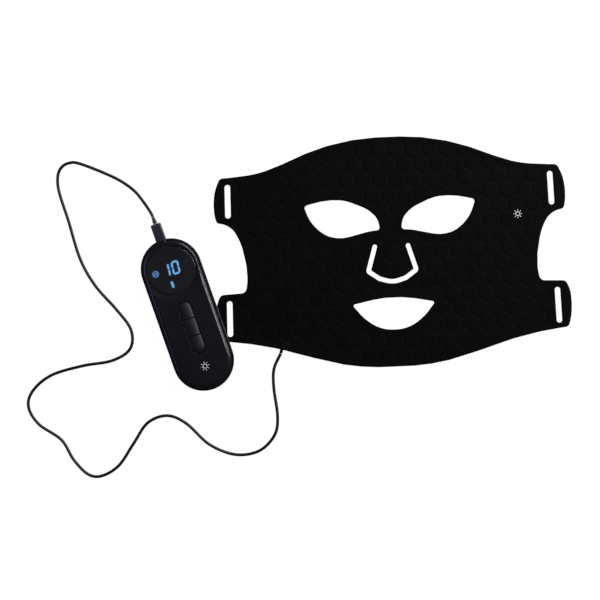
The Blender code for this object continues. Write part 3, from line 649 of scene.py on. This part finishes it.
def turned(profile, steps=48):
    """A closed mesh turned about Z from (radius, height) points that start and end on the axis."""
    form = bmesh.new()
    rings = []
    for radius, height in profile:
        if radius < 1e-7:
            rings.append([form.verts.new((0, 0, height))])
        else:
            rings.append([form.verts.new((x, y, height)) for x, y in circle(radius, steps=steps)])
    for low, high in zip(rings, rings[1:]):
        for i in range(steps):
            j = (i + 1) % steps
            corners = [low[i % len(low)], low[j % len(low)], high[j % len(high)], high[i % len(high)]]
            corners = list(dict.fromkeys(corners))
            if len(corners) > 2:
                form.faces.new(corners)
    return mesh_of(form)


def lofted(levels, steps=40):
    """A closed mesh through stadium rings at (inset, height), capped at the first and the last."""
    form = bmesh.new()
    rings = []
    for inset, height in levels:
        ring = stadium(HALF_WIDTH - inset, HALF_LENGTH - inset, steps)
        rings.append([form.verts.new((x, y, height)) for x, y in ring])
    for low, high in zip(rings, rings[1:]):
        strip(form, low, high)
    form.faces.new(rings[0])
    form.faces.new(rings[-1])
    return mesh_of(form)


def joined(meshes):
    """One mesh of several, each keeping its own material index."""
    form = bmesh.new()
    for mesh in meshes:
        form.from_mesh(mesh)
    made = bpy.data.meshes.new("joined")
    form.to_mesh(made)
    form.free()
    return made


def painted(mesh, index):
    """The mesh with all its faces on one material slot."""
    for face in mesh.polygons:
        face.material_index = index
    return mesh


def carved(mesh, *steps):
    """The mesh after Boolean steps, each an operation and a mesh."""
    work = bpy.data.objects.new("work", mesh)
    bpy.context.scene.collection.objects.link(work)
    tools = []
    for operation, tool_mesh in steps:
        tool = bpy.data.objects.new("tool", tool_mesh)
        bpy.context.scene.collection.objects.link(tool)
        tools.append(tool)
        modifier = work.modifiers.new("step", "BOOLEAN")
        modifier.operation = operation
        modifier.object = tool
        modifier.solver = "EXACT"
    bpy.context.view_layer.update()
    graph = bpy.context.evaluated_depsgraph_get()
    made = bpy.data.meshes.new_from_object(work.evaluated_get(graph))
    for used in [work, *tools]:
        bpy.data.objects.remove(used)
    made.materials.clear()
    return made


# ---- camera, floor and light ----
def make_camera():
    data = bpy.data.cameras.new("camera")
    data.sensor_width = SENSOR_WIDTH
    data.lens = SENSOR_WIDTH * CAMERA_PLACE[2] / VIEW_WIDTH
    camera = bpy.data.objects.new("camera", data)
    camera.location = CAMERA_PLACE
    camera.rotation_euler = (0, 0, CAMERA_ROLL)
    bpy.context.scene.collection.objects.link(camera)
    bpy.context.scene.camera = camera


def make_light(name, place_at, size, power, colour=(1, 1, 1), target=(-0.09, -0.03, 0)):
    data = bpy.data.lights.new(name, "AREA")
    data.shape = "RECTANGLE"
    data.size, data.size_y = size
    data.energy = power
    data.color = colour
    lamp = bpy.data.objects.new(name, data)
    lamp.location = place_at
    lamp.rotation_mode = "QUATERNION"
    lamp.rotation_quaternion = (Vector(target) - Vector(place_at)).to_track_quat("-Z", "Y")
    bpy.context.scene.collection.objects.link(lamp)


def make_studio():
    bpy.ops.mesh.primitive_plane_add(size=8, location=(0, 0, -0.0002))
    floor = bpy.context.object
    floor.name = "floor"
    floor.visible_glossy = False
    made = finish("floor_paper", (0.06, 0.06, 0.06), 0.9, spread=0.01, grain=0.0, Specular_IOR_Level=0.1)
    shader = made.node_tree.nodes["Principled BSDF"]
    shader.inputs["Emission Color"].default_value = (1, 1, 1, 1)
    shader.inputs["Emission Strength"].default_value = 0.985
    floor.data.materials.append(made)

    world = bpy.data.worlds.new("studio")
    world.use_nodes = True
    background = world.node_tree.nodes["Background"]
    background.inputs["Color"].default_value = (0.055, 0.055, 0.065, 1)
    bpy.context.scene.world = world
    bpy.context.scene.view_settings.view_transform = "Standard"
    make_light("key", (0.80, 0.75, 1.45), (1.3, 0.18), 40, (1.0, 0.98, 0.95))
    make_light("side", (1.21, 1.10, 0.45), (2.4, 0.15), 36, (0.68, 0.83, 1.0))
    make_light("fill", (-1.5, 0.10, 0.55), (1.2, 0.4), 6, (0.50, 0.40, 1.0))


# ---- the cord ----
def smooth_way(way, count):
    """Points at even steps along the smooth curve through a list of points."""
    knots = np.array([way[0]] + list(way) + [way[-1]])
    fine = []
    for a, b, c, d in zip(knots, knots[1:], knots[2:], knots[3:]):
        for t in np.linspace(0, 1, 12, endpoint=False):
            square = (2 * a - 5 * b + 4 * c - d) * t**2
            cube = (3 * b - a - 3 * c + d) * t**3
            fine.append(0.5 * (2 * b + (c - a) * t + square + cube))
    fine = np.array(fine + [knots[-1]])
    run = np.concatenate(([0], np.cumsum(np.linalg.norm(np.diff(fine, axis=0), axis=1))))
    even = np.linspace(0, run[-1], count)
    return np.stack([np.interp(even, run, fine[:, k]) for k in range(3)], 1)


def gland_frame():
    return Matrix.Translation((*GLAND_PLACE, 0)) @ Matrix.Rotation(GLAND_TURN, 4, "Z")


def make_gland():
    """The gland moulded into the mask's edge, with three soft rings on its nose."""
    body = block((GLAND_WIDTH, GLAND_DEPTH, TOP), (0, -GLAND_DEPTH / 2, TOP / 2), 0.00012, 2)
    profile = [(0, -0.002), (0.0017, -0.002), (0.0017, 0.0002)]
    for k in range(3):
        y = 0.0004 + 0.0010 * k
        crest = 0.0017 - 0.0001 * k
        profile += [(0.0014, y), (0.0014, y + 0.0003), (crest, y + 0.0005), (crest - 0.0001, y + 0.0008)]
    profile += [(0.00132, 0.0035), (0, 0.0035)]
    nose = turned(profile, 24)
    nose.transform(Matrix.Translation((0, 0, TOP / 2)) @ Matrix.Rotation(math.radians(-90), 4, "X"))
    mesh = joined([body, nose])
    mesh.transform(gland_frame())
    gland = place(mesh, "gland", "silicone")
    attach(gland, "mask")
    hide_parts("cable_gland")
    return gland


def make_plug():
    """The plug's body, metal shell and ribbed boot, in line with the controller."""
    _, length, height = PLUG_BODY
    start = HALF_LENGTH - TOP_INSET + GAP
    along = Matrix.Translation((0, start, PLUG_HEIGHT)) @ Matrix.Rotation(math.radians(-90), 4, "X")

    body = block(PLUG_BODY, (0, start + length / 2, PLUG_HEIGHT), 0.0011, 4)
    grooves = []
    for k in range(4):
        y = start + 0.0105 + 0.0013 * k
        groove = block((0.0060, 0.0005, 0.0006), (0, y, PLUG_HEIGHT + height / 2), 0.0002)
        grooves.append(("DIFFERENCE", groove))
    body = carved(body, *grooves)

    tongue = block(PLUG_TONGUE, (0, start - GAP - PLUG_TONGUE[1] / 2, PLUG_HEIGHT), 0.0008, 4)
    profile = [(0, 0.0), (0.0023, 0.0), (0.0023, 0.0008)]
    for k in range(3):
        y = 0.0010 + 0.0016 * k
        radius = 0.0022 - 0.00016 * k
        valley = radius - 0.00045
        profile += [(valley, y), (valley, y + 0.0005), (radius, y + 0.0007), (radius, y + 0.0013)]
    profile += [(0.0016, 0.0060), (0, 0.0060)]
    boot = turned(profile, 24)
    boot.transform(along @ Matrix.Translation((0, 0, length + GAP)))
    made = []
    for name, mesh, look, material_slot in (
        ("plug_body", body, "plug", "plug_plastic"),
        ("plug_shell", tongue, "plug_metal", "plug_metal"),
        ("plug_boot", boot, "boot", "cord_rubber"),
    ):
        mesh.transform(CONTROLLER)
        piece = place(mesh, name + "_finish", look)
        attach(piece, "mask")
        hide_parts(name)
        made.append(piece)
    return made


def make_cord(pieces):
    heights = list(CORD_FALL) + [CORD_RADIUS] * (len(CORD_WAY) - len(CORD_FALL) - 1) + [TOP / 2]
    way = [(x, y, z) for (x, y), z in zip(CORD_WAY, heights)]
    points = smooth_way(way, CORD_POINTS)[::-1]
    curve = bpy.data.curves.new("cord_finish", "CURVE")
    curve.dimensions = "3D"
    curve.bevel_depth = CORD_RADIUS
    curve.bevel_resolution = 5
    curve.use_fill_caps = True
    spline = curve.splines.new("POLY")
    spline.points.add(len(points) - 1)
    spline.points.foreach_set("co", [v for p in points for v in (*p, 1)])
    curve.materials.append(FINISHES["cord"])
    cord = bpy.data.objects.new("cord_finish", curve)
    bpy.context.scene.collection.objects.link(cord)
    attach(cord, "mask")
    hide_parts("cord")


# ---- the mask's skins and circuits ----
def mask_rings():
    """The mask's outline, then its eyes, mouth, strap slots and nose slit, as dense rings."""
    eye = rounded(EYE)
    rings = [rounded(mirrored(MASK_HALF)), eye, flipped(eye), rounded(mirrored(MOUTH_HALF))]
    for x, y, length in STRAP_SLOTS:
        ring = slot(x, y, length, SLOT_WIDTH, SLOT_LEAN)
        rings += [ring, flipped(ring)]
    rings.append(slit_ring())
    return [subdivided(ring, OFFSET_STEP) for ring in rings]


def lattice():
    """Centres of the honeycomb's cells, which are also the places of the lights."""
    row_step = LED_PITCH * math.sin(math.radians(60))
    places = []
    for row in range(-9, 10):
        shift = LED_PITCH / 2 if row % 2 else 0.0
        y = row * row_step + LED_ROW_START
        places += [(column * LED_PITCH + shift, y) for column in range(-12, 13)]
    return np.array(places)


def smoothstep(value, low, high):
    share = np.clip((value - low) / (high - low), 0, 1)
    return share * share * (3 - 2 * share)


def quilting(rings):
    """Points of the top between the rings: a plain rim, a small step down, and a low honeycomb."""
    hexagon = circle(1.0, steps=6) @ np.array(Matrix.Rotation(math.radians(30), 2)).T
    flats = LED_PITCH / 2
    cells = lattice()
    near = within(cells, rings[:1]) | (distance(cells, rings[:1]) < LED_PITCH)
    found = [np.column_stack((cells[near], np.full(near.sum(), HONEYCOMB[-1][1] * 1.2)))]
    for inset, height, step in HONEYCOMB:
        ring = subdivided(hexagon * (flats - inset) / math.cos(math.radians(30)), step)
        for cell in cells[near]:
            found.append(np.column_stack((ring + cell, np.full(len(ring), height))))
    spots = np.unique(np.round(np.concatenate(found), 6), axis=0)
    clear = distance(spots[:, :2], rings)
    keep = within(spots[:, :2], rings) & (clear > RELIEF_STEP[1] + 0.0004)
    spots, clear = spots[keep], clear[keep]
    spots[:, 2] = spots[:, 2] * smoothstep(clear, *RELIEF_FADE) - RELIEF_DROP

    lines = []
    for reach, drop in ((0.0022, 0.0), (RELIEF_STEP[0], 0.0), (RELIEF_STEP[1], RELIEF_DROP)):
        for i, ring in enumerate(rings):
            line = subdivided(offset(ring, reach if i else -reach), OFFSET_STEP)
            line = line[within(line, rings) & (distance(line, rings) > reach * 0.97)]
            lines.append(np.column_stack((line, np.full(len(line), -drop))))
    spots = np.concatenate([spots, *lines])
    spots[:, 2] += TOP
    return spots


def in_flap(face):
    """Whether a face belongs to the nose flap."""
    centre = face.calc_center_median()
    return centre.y < FLAP_HINGE_Y and bool(within(np.array([centre[:2]]), [FLAP_REGION])[0])


FLAP_WAY = [*SLIT_HALF, *((-x, y) for x, y in SLIT_HALF[-2::-1])]
FLAP_CORE = np.array(FLAP_WAY)
FLAP_REGION = np.array([(0.0158, -0.0150), *FLAP_WAY, (-0.0158, -0.0150)])


def split(form, name, look, nodes):
    """Cuts a whole sheet into the nose flap and two halves, which meet where nothing bends."""
    bend_lines(form)
    for y in np.linspace(FLAP_HINGE_Y - FLAP_BEND, FLAP_HINGE_Y, 9):
        cut(form, (0, y, 0), (0, 1, 0))
    form.faces.ensure_lookup_table()
    flap_faces = [face.index for face in form.faces if in_flap(face)]
    pieces = []
    for part in ("flap", "left", "right"):
        some = form.copy()
        some.faces.ensure_lookup_table()
        flap = [some.faces[i] for i in flap_faces]
        others = set(some.faces) - set(flap)
        bmesh.ops.delete(some, geom=list(others) if part == "flap" else flap, context="FACES")
        if part != "flap":
            cut(some, (0, 0, 0), (1, 0, 0), 1 if part == "left" else -1)
        piece = place(mesh_of(capped(some)), name + "_" + part, look)
        bend(piece, part)
        pieces.append(piece)
    form.free()
    for piece, body_nodes in zip(pieces, nodes):
        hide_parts(*body_nodes)
    return pieces


def bend(piece, part):
    """Bakes a piece's placement into its mesh, the same for the flap as for either half."""
    if part == "flap":
        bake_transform(piece)
        return
    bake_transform(piece)


def layer_nodes(layer):
    """The CAD nodes that the flap, left and right pieces of a layer stand for."""
    return (
        ["nose_flap_" + layer],
        ["mask_" + layer, "left_wing_" + layer],
        ["right_wing_" + layer],
    )


def notched(form):
    """The sheet with the gland's notch cut out of its edge."""
    depth = GLAND_DEPTH - SNUG
    notch = block((GLAND_WIDTH - 2 * SNUG, depth + 0.01, 0.02), (0, 0.005 - depth / 2, 0))
    notch.transform(gland_frame())
    mesh = carved(mesh_of(form), ("DIFFERENCE", notch))
    made = bmesh.new()
    made.from_mesh(mesh)
    return made


def make_skins(rings):
    hollow = (pocket(rings, 0.0) + [flap_pocket(0.0)], POCKET_ROOF)
    form = sheet(rings, soft_edge(TOP, EDGE_RADIUS, FRONT_LOW), quilting(rings), hollow)
    split(notched(form), "front_skin", "silicone", layer_nodes("front_skin"))
    form = sheet(rings, soft_edge(BACK_TOP, 0.0001, 0.0, LOW_RADIUS, 2))
    split(notched(form), "back_skin", "clear", layer_nodes("back_skin"))


def pocket(rings, clearance):
    """Outline and holes of the hollow for the lights, or with a clearance of the circuit in it."""
    rim = offset(rings[0], -RIM_WALL - clearance)
    reach = POCKET_REACH - clearance
    rim[:, 0] = rim[:, 0].clip(-reach, reach)
    rim = rim[np.linalg.norm(rim - np.roll(rim, 1, 0), axis=1) > 0.0002]
    holes = [offset(ring, HOLE_WALL + clearance) for ring in rings[1:4]]
    return [rim, *holes, offset(FLAP_CORE, SLIT_WIDTH / 2 + HOLE_WALL + clearance)]


def flap_pocket(clearance):
    """The outline of the nose flap's own hollow, or with a clearance of its circuit."""
    side = slit_side(-SLIT_WIDTH / 2 - HOLE_WALL - clearance)
    top = FLAP_HINGE_Y - HOLE_WALL - clearance
    half = [(0, top, 0), (side[0].x, top, 0.0008)]
    half += [(p.x, p.y, 0.0008) for p in side[1:3]] + [(0, side[3].y, None)]
    return rounded(mirrored(half))


def light_places(rings):
    """Cells of the lattice whose lights are clear of the circuit's edges and of the hinge lines."""
    cells = lattice()
    clear = within(cells, rings) & (distance(cells, rings) > LED_EDGE)
    return cells[clear & (abs(abs(cells[:, 0]) - WING_HINGE_X) > LED_EDGE)]


def light():
    """One light: a package with a sunk round window, two contacts and a small resistor beside it."""
    depth = CIRCUIT_LOW - LED_LOW
    package = block((LED_SIZE, LED_SIZE, depth), (0, 0, LED_LOW + depth / 2), 0.00018, 2)
    bulge = [(0, -0.00006), (0.0007, -0.00005), (0.00105, 0.0), (0.00115, 0.0002), (0, 0.0002)]
    lens = turned(bulge, 16)
    lens.transform(Matrix.Translation((0, 0, LED_LOW)))
    parts = [painted(package, 1), painted(lens, 2)]
    for side in (-1, 1):
        tab = block((0.0006, 0.0020, 0.0003), (side * 0.00165, 0, CIRCUIT_LOW - 0.00015), 0.00008, 1)
        parts.append(painted(tab, 4))
    resistor = block((0.0010, 0.0005, 0.0004), (0, 0.0030, CIRCUIT_LOW - 0.0002), 0.00006, 1)
    return joined(parts + [painted(resistor, 5)])


def moved(mesh, x, y, turn=0.0):
    """A copy of the mesh at another place in the plane."""
    made = mesh.copy()
    made.transform(Matrix.Translation((x, y, 0)) @ Matrix.Rotation(turn, 4, "Z"))
    return made


def traces(places, step):
    """Copper runs between lights that are one step apart."""
    length = math.hypot(*step) - LED_SIZE - 0.0006
    run = painted(block((length, 0.0007, 0.00008), (0, 0, CIRCUIT_LOW)), 3)
    turn = math.atan2(step[1], step[0])
    runs = []
    for x, y in places:
        if np.linalg.norm(places - (x + step[0], y + step[1]), axis=1).min() < 0.0005:
            runs.append(moved(run, x + step[0] / 2, y + step[1] / 2, turn))
    return runs


CIRCUIT_LOOKS = ["flex", "led_package", "led_lens", "copper", "steel", "chip"]


def circuit_form(rings, places):
    """A flexible circuit of an outline, with its lights and the copper between them."""
    base = sheet(rings, [(0.0, CIRCUIT_HIGH), (0.0, CIRCUIT_LOW)])
    unit = light()
    row_step = LED_PITCH * math.sin(math.radians(60))
    parts = [moved(unit, x, y) for x, y in places]
    parts += traces(places, (LED_PITCH, 0)) + traces(places, (LED_PITCH / 2, row_step))
    form = notched(base)
    form.from_mesh(joined(parts))
    return form


def make_circuits(rings):
    outlines = pocket(rings, CIRCUIT_CLEARANCE)
    form = circuit_form(outlines, light_places(outlines))
    bend_lines(form)
    for part, side in (("left", -1), ("right", 1)):
        some = form.copy()
        cut(some, (0, 0, 0), (1, 0, 0), -side)
        piece = place(mesh_of(capped(some)), "led_circuit_" + part, CIRCUIT_LOOKS)
        bend(piece, part)
        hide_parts(*layer_nodes("led_circuit")[1 if part == "left" else 2])
    form.free()
    form = circuit_form([flap_pocket(CIRCUIT_CLEARANCE)], np.array(FLAP_LIGHTS))
    piece = place(mesh_of(form), "led_circuit_flap", CIRCUIT_LOOKS)
    bend(piece, "flap")
    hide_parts(*layer_nodes("led_circuit")[0])


# ---- marks ----
def plate(ring, low, high):
    """A thin flat plate of an outline."""
    return mesh_of(sheet([ring], [(0.0, high), (0.0, low)]))


def stroke(start, end, width):
    """The outline of a straight stroke with pointed ends."""
    start, end = np.array(start), np.array(end)
    along = (end - start) / np.linalg.norm(end - start) * width / 2
    across = np.array((-along[1], along[0]))
    first, last = start + along, end - along
    return np.array([start, first + across, last + across, end, last - across, first - across])


def bar(start, end, width):
    """The outline of a straight stroke with round ends, which lie inside its length."""
    start, end = np.array(start), np.array(end)
    length = np.linalg.norm(end - start)
    turn = math.atan2(end[1] - start[1], end[0] - start[0]) - math.pi / 2
    ring = stadium(width / 2, length / 2, 8)
    return ring @ np.array(Matrix.Rotation(turn, 2)).T + (start + end) / 2


def arc_band(centre, radius, width, start, sweep, steps=24):
    """The outline of a curved stroke, from an angle through a sweep."""
    angles = start + np.linspace(0, sweep, steps + 1)
    rays = np.stack((np.cos(angles), np.sin(angles)), 1)
    return np.concatenate((rays * (radius + width / 2), rays[::-1] * (radius - width / 2))) + centre


def digit_strokes(place_at, strokes):
    """Outlines of a slanted digit's strokes; each is its ends in units of the digit's half size."""
    rings = []
    for start, end in strokes:
        ends = [np.array(p) * DIGIT_HALF for p in (start, end)]
        rings.append(stroke(*ends, DIGIT_STROKE))
    slanted = []
    for ring in rings:
        ring = ring.copy()
        ring[:, 0] += ring[:, 1] * DIGIT_SLANT
        slanted.append(ring + place_at)
    return slanted


def lit_outlines():
    """Outlines of the number ten and of the level bar below it."""
    right = [((1, 1), (1, 0)), ((1, 0), (1, -1))]
    left = [((-1, 1), (-1, 0)), ((-1, 0), (-1, -1))]
    level = [((-1, 1), (1, 1)), ((-1, -1), (1, -1))]
    rings = digit_strokes((ONE_PLACE[0] - DIGIT_HALF[0], ONE_PLACE[1]), right)
    rings += digit_strokes(ZERO_PLACE, right + left + level)
    x, y = BAR_PLACE
    width, length = BAR_SIZE
    rings.append(bar((x, y - length / 2), (x, y + length / 2), width))
    return rings


def icon_outlines():
    """Outlines of the ring icon and of the two strokes in it."""
    x, y = RING_PLACE
    rings = [arc_band(RING_PLACE, RING_RADIUS, ICON_STROKE[0], 0.0, NEAR_TURN, 40)]
    for rise in (0.0006, -0.0006):
        rings.append(bar((x - 0.0020, y + rise), (x + 0.0020, y + rise), ICON_STROKE[1]))
    return rings


def make_display():
    profile = [(0, LENS_BOTTOM), (LENS_RADIUS - 0.0002, LENS_BOTTOM), (LENS_RADIUS, LENS_BOTTOM + 0.0002)]
    for turn in np.linspace(0, math.pi / 2, 5):
        radius = LENS_RADIUS - LENS_ROUNDING * (1 - math.cos(turn))
        profile.append((radius, LENS_TOP - LENS_ROUNDING * (1 - math.sin(turn))))
    top = LENS_TOP + 0.00001
    profile += [(LENS_RADIUS * share, top) for share in (0.9, 0.6, 0.3, 0)]
    lens = turned(profile, 96)
    lens.transform(CONTROLLER @ Matrix.Translation((0, LENS_Y, 0)))
    piece = place(lens, "display_window", "gloss")
    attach(piece, "controller")
    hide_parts("display_lens")

    rings = lit_outlines()
    halos = [offset(subdivided(ring, 0.0004), HALO) for ring in rings]
    halos.append(circle(RING_RADIUS + 0.0012, RING_PLACE))
    for name, outlines, look, rise in (
        ("display_marks", rings, "lit", 3),
        ("display_icon", icon_outlines(), "lit_pale", 3),
        ("display_glow", halos, "glow", 1),
        ("display_dot", [circle(0.0009, DOT_PLACE, 16)], "glow", 2),
    ):
        step = MARK_HEIGHT / 4
        plates = []
        for k, ring in enumerate(outlines):
            plates.append(plate(ring, top - 0.0001, top + rise * step + k * step / 20))
        mesh = joined(plates)
        mesh.transform(CONTROLLER)
        piece = place(mesh, name, look)
        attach(piece, "controller")


def sun(centre, radius):
    """Outlines of a plain light symbol: a ring with eight rays."""
    rings = [arc_band(centre, radius * 0.46, radius * 0.16, 0.0, NEAR_TURN, 32)]
    for k in range(8):
        ray = np.array((math.cos(k * math.pi / 4), math.sin(k * math.pi / 4)))
        rings.append(bar(centre + ray * radius * 0.70, centre + ray * radius, radius * 0.15))
    return rings


def make_marks():
    """The printed light symbols on the mask's cheek and on the controller."""
    low = TOP - 0.0006
    form = bmesh.new()
    form.from_mesh(joined([plate(ring, low, TOP + MARK_HEIGHT) for ring in sun(CHEEK_MARK, SUN_RADIUS)]))
    bend_lines(form)
    piece = place(mesh_of(form), "cheek_mark", "print")
    bend(piece, "right")
    rings = sun((0, CASE_MARK_Y), SUN_RADIUS)
    mesh = joined([plate(ring, FACE_TOP - 0.0003, FACE_TOP + MARK_HEIGHT) for ring in rings])
    mesh.transform(CONTROLLER)
    piece = place(mesh, "case_mark", "print")
    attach(piece, "controller")


# ---- the controller ----
def shoulder(inset, radius, top, steps=12):
    """Levels of a rounded edge that climbs from an inset to a height."""
    angles = [math.radians(90) * k / steps for k in range(steps + 1)]
    return [(inset + radius * (1 - math.cos(a)), top - radius * (1 - math.sin(a))) for a in angles]


def pill(reach=0.0, steps=20):
    """The key strip's outline, moved outwards by reach."""
    ring = stadium(KEY_WIDTH / 2 + reach, KEY_STRIP_HALF + reach, steps)
    return subdivided(ring + (0, KEY_STRIP_Y), 0.0015)


def upright(radius, low, high, centre, steps=32):
    """A cylinder between two heights."""
    mesh = turned([(0, low), (radius, low), (radius, high), (0, high)], steps)
    mesh.transform(Matrix.Translation((*centre, 0)))
    return mesh


def dish_cutter():
    """The shallow dish round the display's window, steeper towards its edge."""
    start = LENS_RADIUS + 0.0006
    profile = [(0, DISH_LOW - 0.0001), (LENS_RADIUS - 0.0004, DISH_LOW - 0.0001)]
    for t in np.linspace(0, 1, 7):
        rise = (FACE_TOP - DISH_LOW) * (0.7 * t + 0.3 * t * t)
        profile.append((start + (DISH_RADIUS - start) * t, DISH_LOW + rise))
    profile += [(DISH_RADIUS + 0.0030, FACE_TOP + 0.0012), (0, FACE_TOP + 0.0012)]
    dish = turned(profile, 96)
    dish.transform(Matrix.Translation((0, LENS_Y, 0)))
    return dish


def make_top_case():
    inner = TOP_INSET + WALL
    roof = FACE_TOP - WALL
    levels = shoulder(inner, SHOULDER - WALL, roof, 6)[::-1]
    levels += [(inner, SKIRT_BOTTOM), (TOP_INSET, SKIRT_BOTTOM)]
    levels += shoulder(TOP_INSET, SHOULDER, FACE_TOP)
    chamfer = [(-0.0006, FACE_TOP + 0.0003), (-0.0002, FACE_TOP - 0.0001), (0.0, FACE_TOP - 0.0005)]
    trough = mesh_of(sheet([pill(GAP)], chamfer))
    window = mesh_of(sheet([pill(GAP)], [(0.0, FACE_TOP + 0.001), (0.0, FACE_TOP - 0.005)]))
    mouth = block((0.0094, 0.02, 0.0034), (0, HALF_LENGTH, PLUG_HEIGHT), 0.0009, 3)
    case = carved(
        lofted(levels),
        ("DIFFERENCE", dish_cutter()),
        ("DIFFERENCE", upright(LENS_RADIUS + GAP, 0.01, 0.03, (0, LENS_Y), 96)),
        ("DIFFERENCE", trough),
        ("DIFFERENCE", window),
        ("DIFFERENCE", mouth),
    )
    case.transform(CONTROLLER)
    piece = place(case, "case_top", "shell", 9)
    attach(piece, "controller")
    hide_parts("controller_top_shell")


def make_bottom_case():
    inner = TOP_INSET + WALL
    levels = [(FOOT_INSET + 0.0006, 0.0), (FOOT_INSET, 0.0002)]
    for t in np.linspace(0.1, 1, 10):
        bulge = 2 * t * (1 - t)
        levels.append(((1 - t) ** 2 * FOOT_INSET + bulge * 0.0035, bulge * 0.0075 + t * t * HULL_TOP))
    levels += [(0.0, RIM_TOP - 0.0008)]
    levels += shoulder(0.0, 0.0006, RIM_TOP, 5)[1:]
    levels += [(RIM_WALL_TOP, RIM_TOP), (RIM_WALL_TOP, LEDGE), (inner, LEDGE)]
    levels += [(0.0052, 0.0080), (FOOT_INSET + 0.0008, 0.0020)]
    sinks = joined([upright(SINK_RADIUS, -0.001, SINK_DEPTH, place_at, 24) for place_at in SCREW_PLACES])
    case = carved(lofted(levels), ("DIFFERENCE", sinks))
    case.transform(CONTROLLER)
    piece = place(case, "case_bottom", "shell", 30)
    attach(piece, "controller")
    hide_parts("controller_bottom_shell")


def key_icon(name, y):
    """Outlines of a key's symbol: power, a light, or rising bars."""
    if name == "power":
        rings = [arc_band((0, y), 0.0021, 0.0007, math.radians(125), math.radians(290))]
        return rings + [bar((0, y + 0.0006), (0, y + 0.0029), 0.0007)]
    if name == "mode":
        return [circle(0.0007, (0, y), 16)]
    low = y - 0.0013
    bars = ((-0.0014, 0.0012), (0, 0.0020), (0.0014, 0.0028))
    return [bar((x, low), (x, low + height), 0.0008) for x, height in bars]


def key_top(points):
    """Heights of the keys' crowned top at some points."""
    beyond = (abs(points[:, 1] - KEY_STRIP_Y) - KEY_STRIP_HALF + KEY_WIDTH / 2).clip(0)
    share = np.hypot(points[:, 0], beyond) / (KEY_WIDTH / 2)
    return KEY_TOP - KEY_CROWN * share**2


def make_keys():
    """Three keys under one pill outline, with a groove between neighbours."""
    grid = np.mgrid[-6:7, -32:33].reshape(2, -1).T * (0.0009, 0.0009) + (0, KEY_STRIP_Y)
    for i, name in enumerate(KEY_NAMES):
        y = KEY_STRIP_Y + (1 - i) * KEY_PITCH
        low = y - KEY_PITCH / 2 + GAP / 2 if i < 2 else -1
        high = y + KEY_PITCH / 2 - GAP / 2 if i > 0 else 1
        ring = pill()
        ring[:, 1] = ring[:, 1].clip(low, high)
        ring = ring[np.linalg.norm(ring - np.roll(ring, 1, 0), axis=1) > 1e-6]
        ring = subdivided(thinned(ring, 1e-6), 0.0009)
        edge = soft_edge(0.0, KEY_ROUNDING, KEY_BOTTOM - KEY_TOP, steps=3)
        form = sheet([ring], edge, key_spots(grid, ring))
        for vert in form.verts:
            if vert.co.z > -KEY_ROUNDING * 1.01:
                vert.co.z += key_top(np.array([vert.co.xy]))[0]
            else:
                vert.co.z += KEY_TOP
        mesh = mesh_of(form)
        marks = [painted(plate(mark, -0.0002, MARK_HEIGHT), 1) for mark in key_icon(name, y)]
        for mark in marks:
            for vert in mark.vertices:
                vert.co.z += key_top(np.array([vert.co.xy]))[0]
        mesh = joined([mesh, *marks])
        mesh.transform(CONTROLLER)
        piece = place(mesh, name + "_key_cap", ["key", "key_mark"], 30)
        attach(piece, name + "_key")
        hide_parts(name + "_button")


def key_spots(grid, ring):
    """Points of the grid that are well inside a key's outline, at no height."""
    inside = within(grid, [ring]) & (distance(grid, [ring]) > KEY_ROUNDING + 0.0003)
    return [(x, y, 0.0) for x, y in grid[inside]]


INNER_LOOKS = {
    "controller_seal_ring": "seal",
    "main_board": "board",
    "control_chip": "chip",
    "battery": "battery",
    "battery_pad": "foam",
    "battery_connector": "white_plastic",
    "plug_socket": "plug_metal",
    "display_module": "gloss",
    "lens_adhesive_ring": "foam",
    **{name + "_switch": "steel" for name in KEY_NAMES},
    **{f"case_screw_{k + 1}": "steel" for k in range(len(SCREW_PLACES))},
}


def dress_inner_parts():
    """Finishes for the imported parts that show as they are."""
    for name, look in INNER_LOOKS.items():
        mesh = frame["nodes"][name].data
        mesh.materials.clear()
        mesh.materials.append(FINISHES[look])


def main():
    make_camera()
    gland = make_gland()
    make_cord([gland, *make_plug()])
    make_studio()
    rings = mask_rings()
    make_skins(rings)
    make_circuits(rings)
    make_top_case()
    make_bottom_case()
    make_display()
    make_keys()
    make_marks()
    dress_inner_parts()


main()
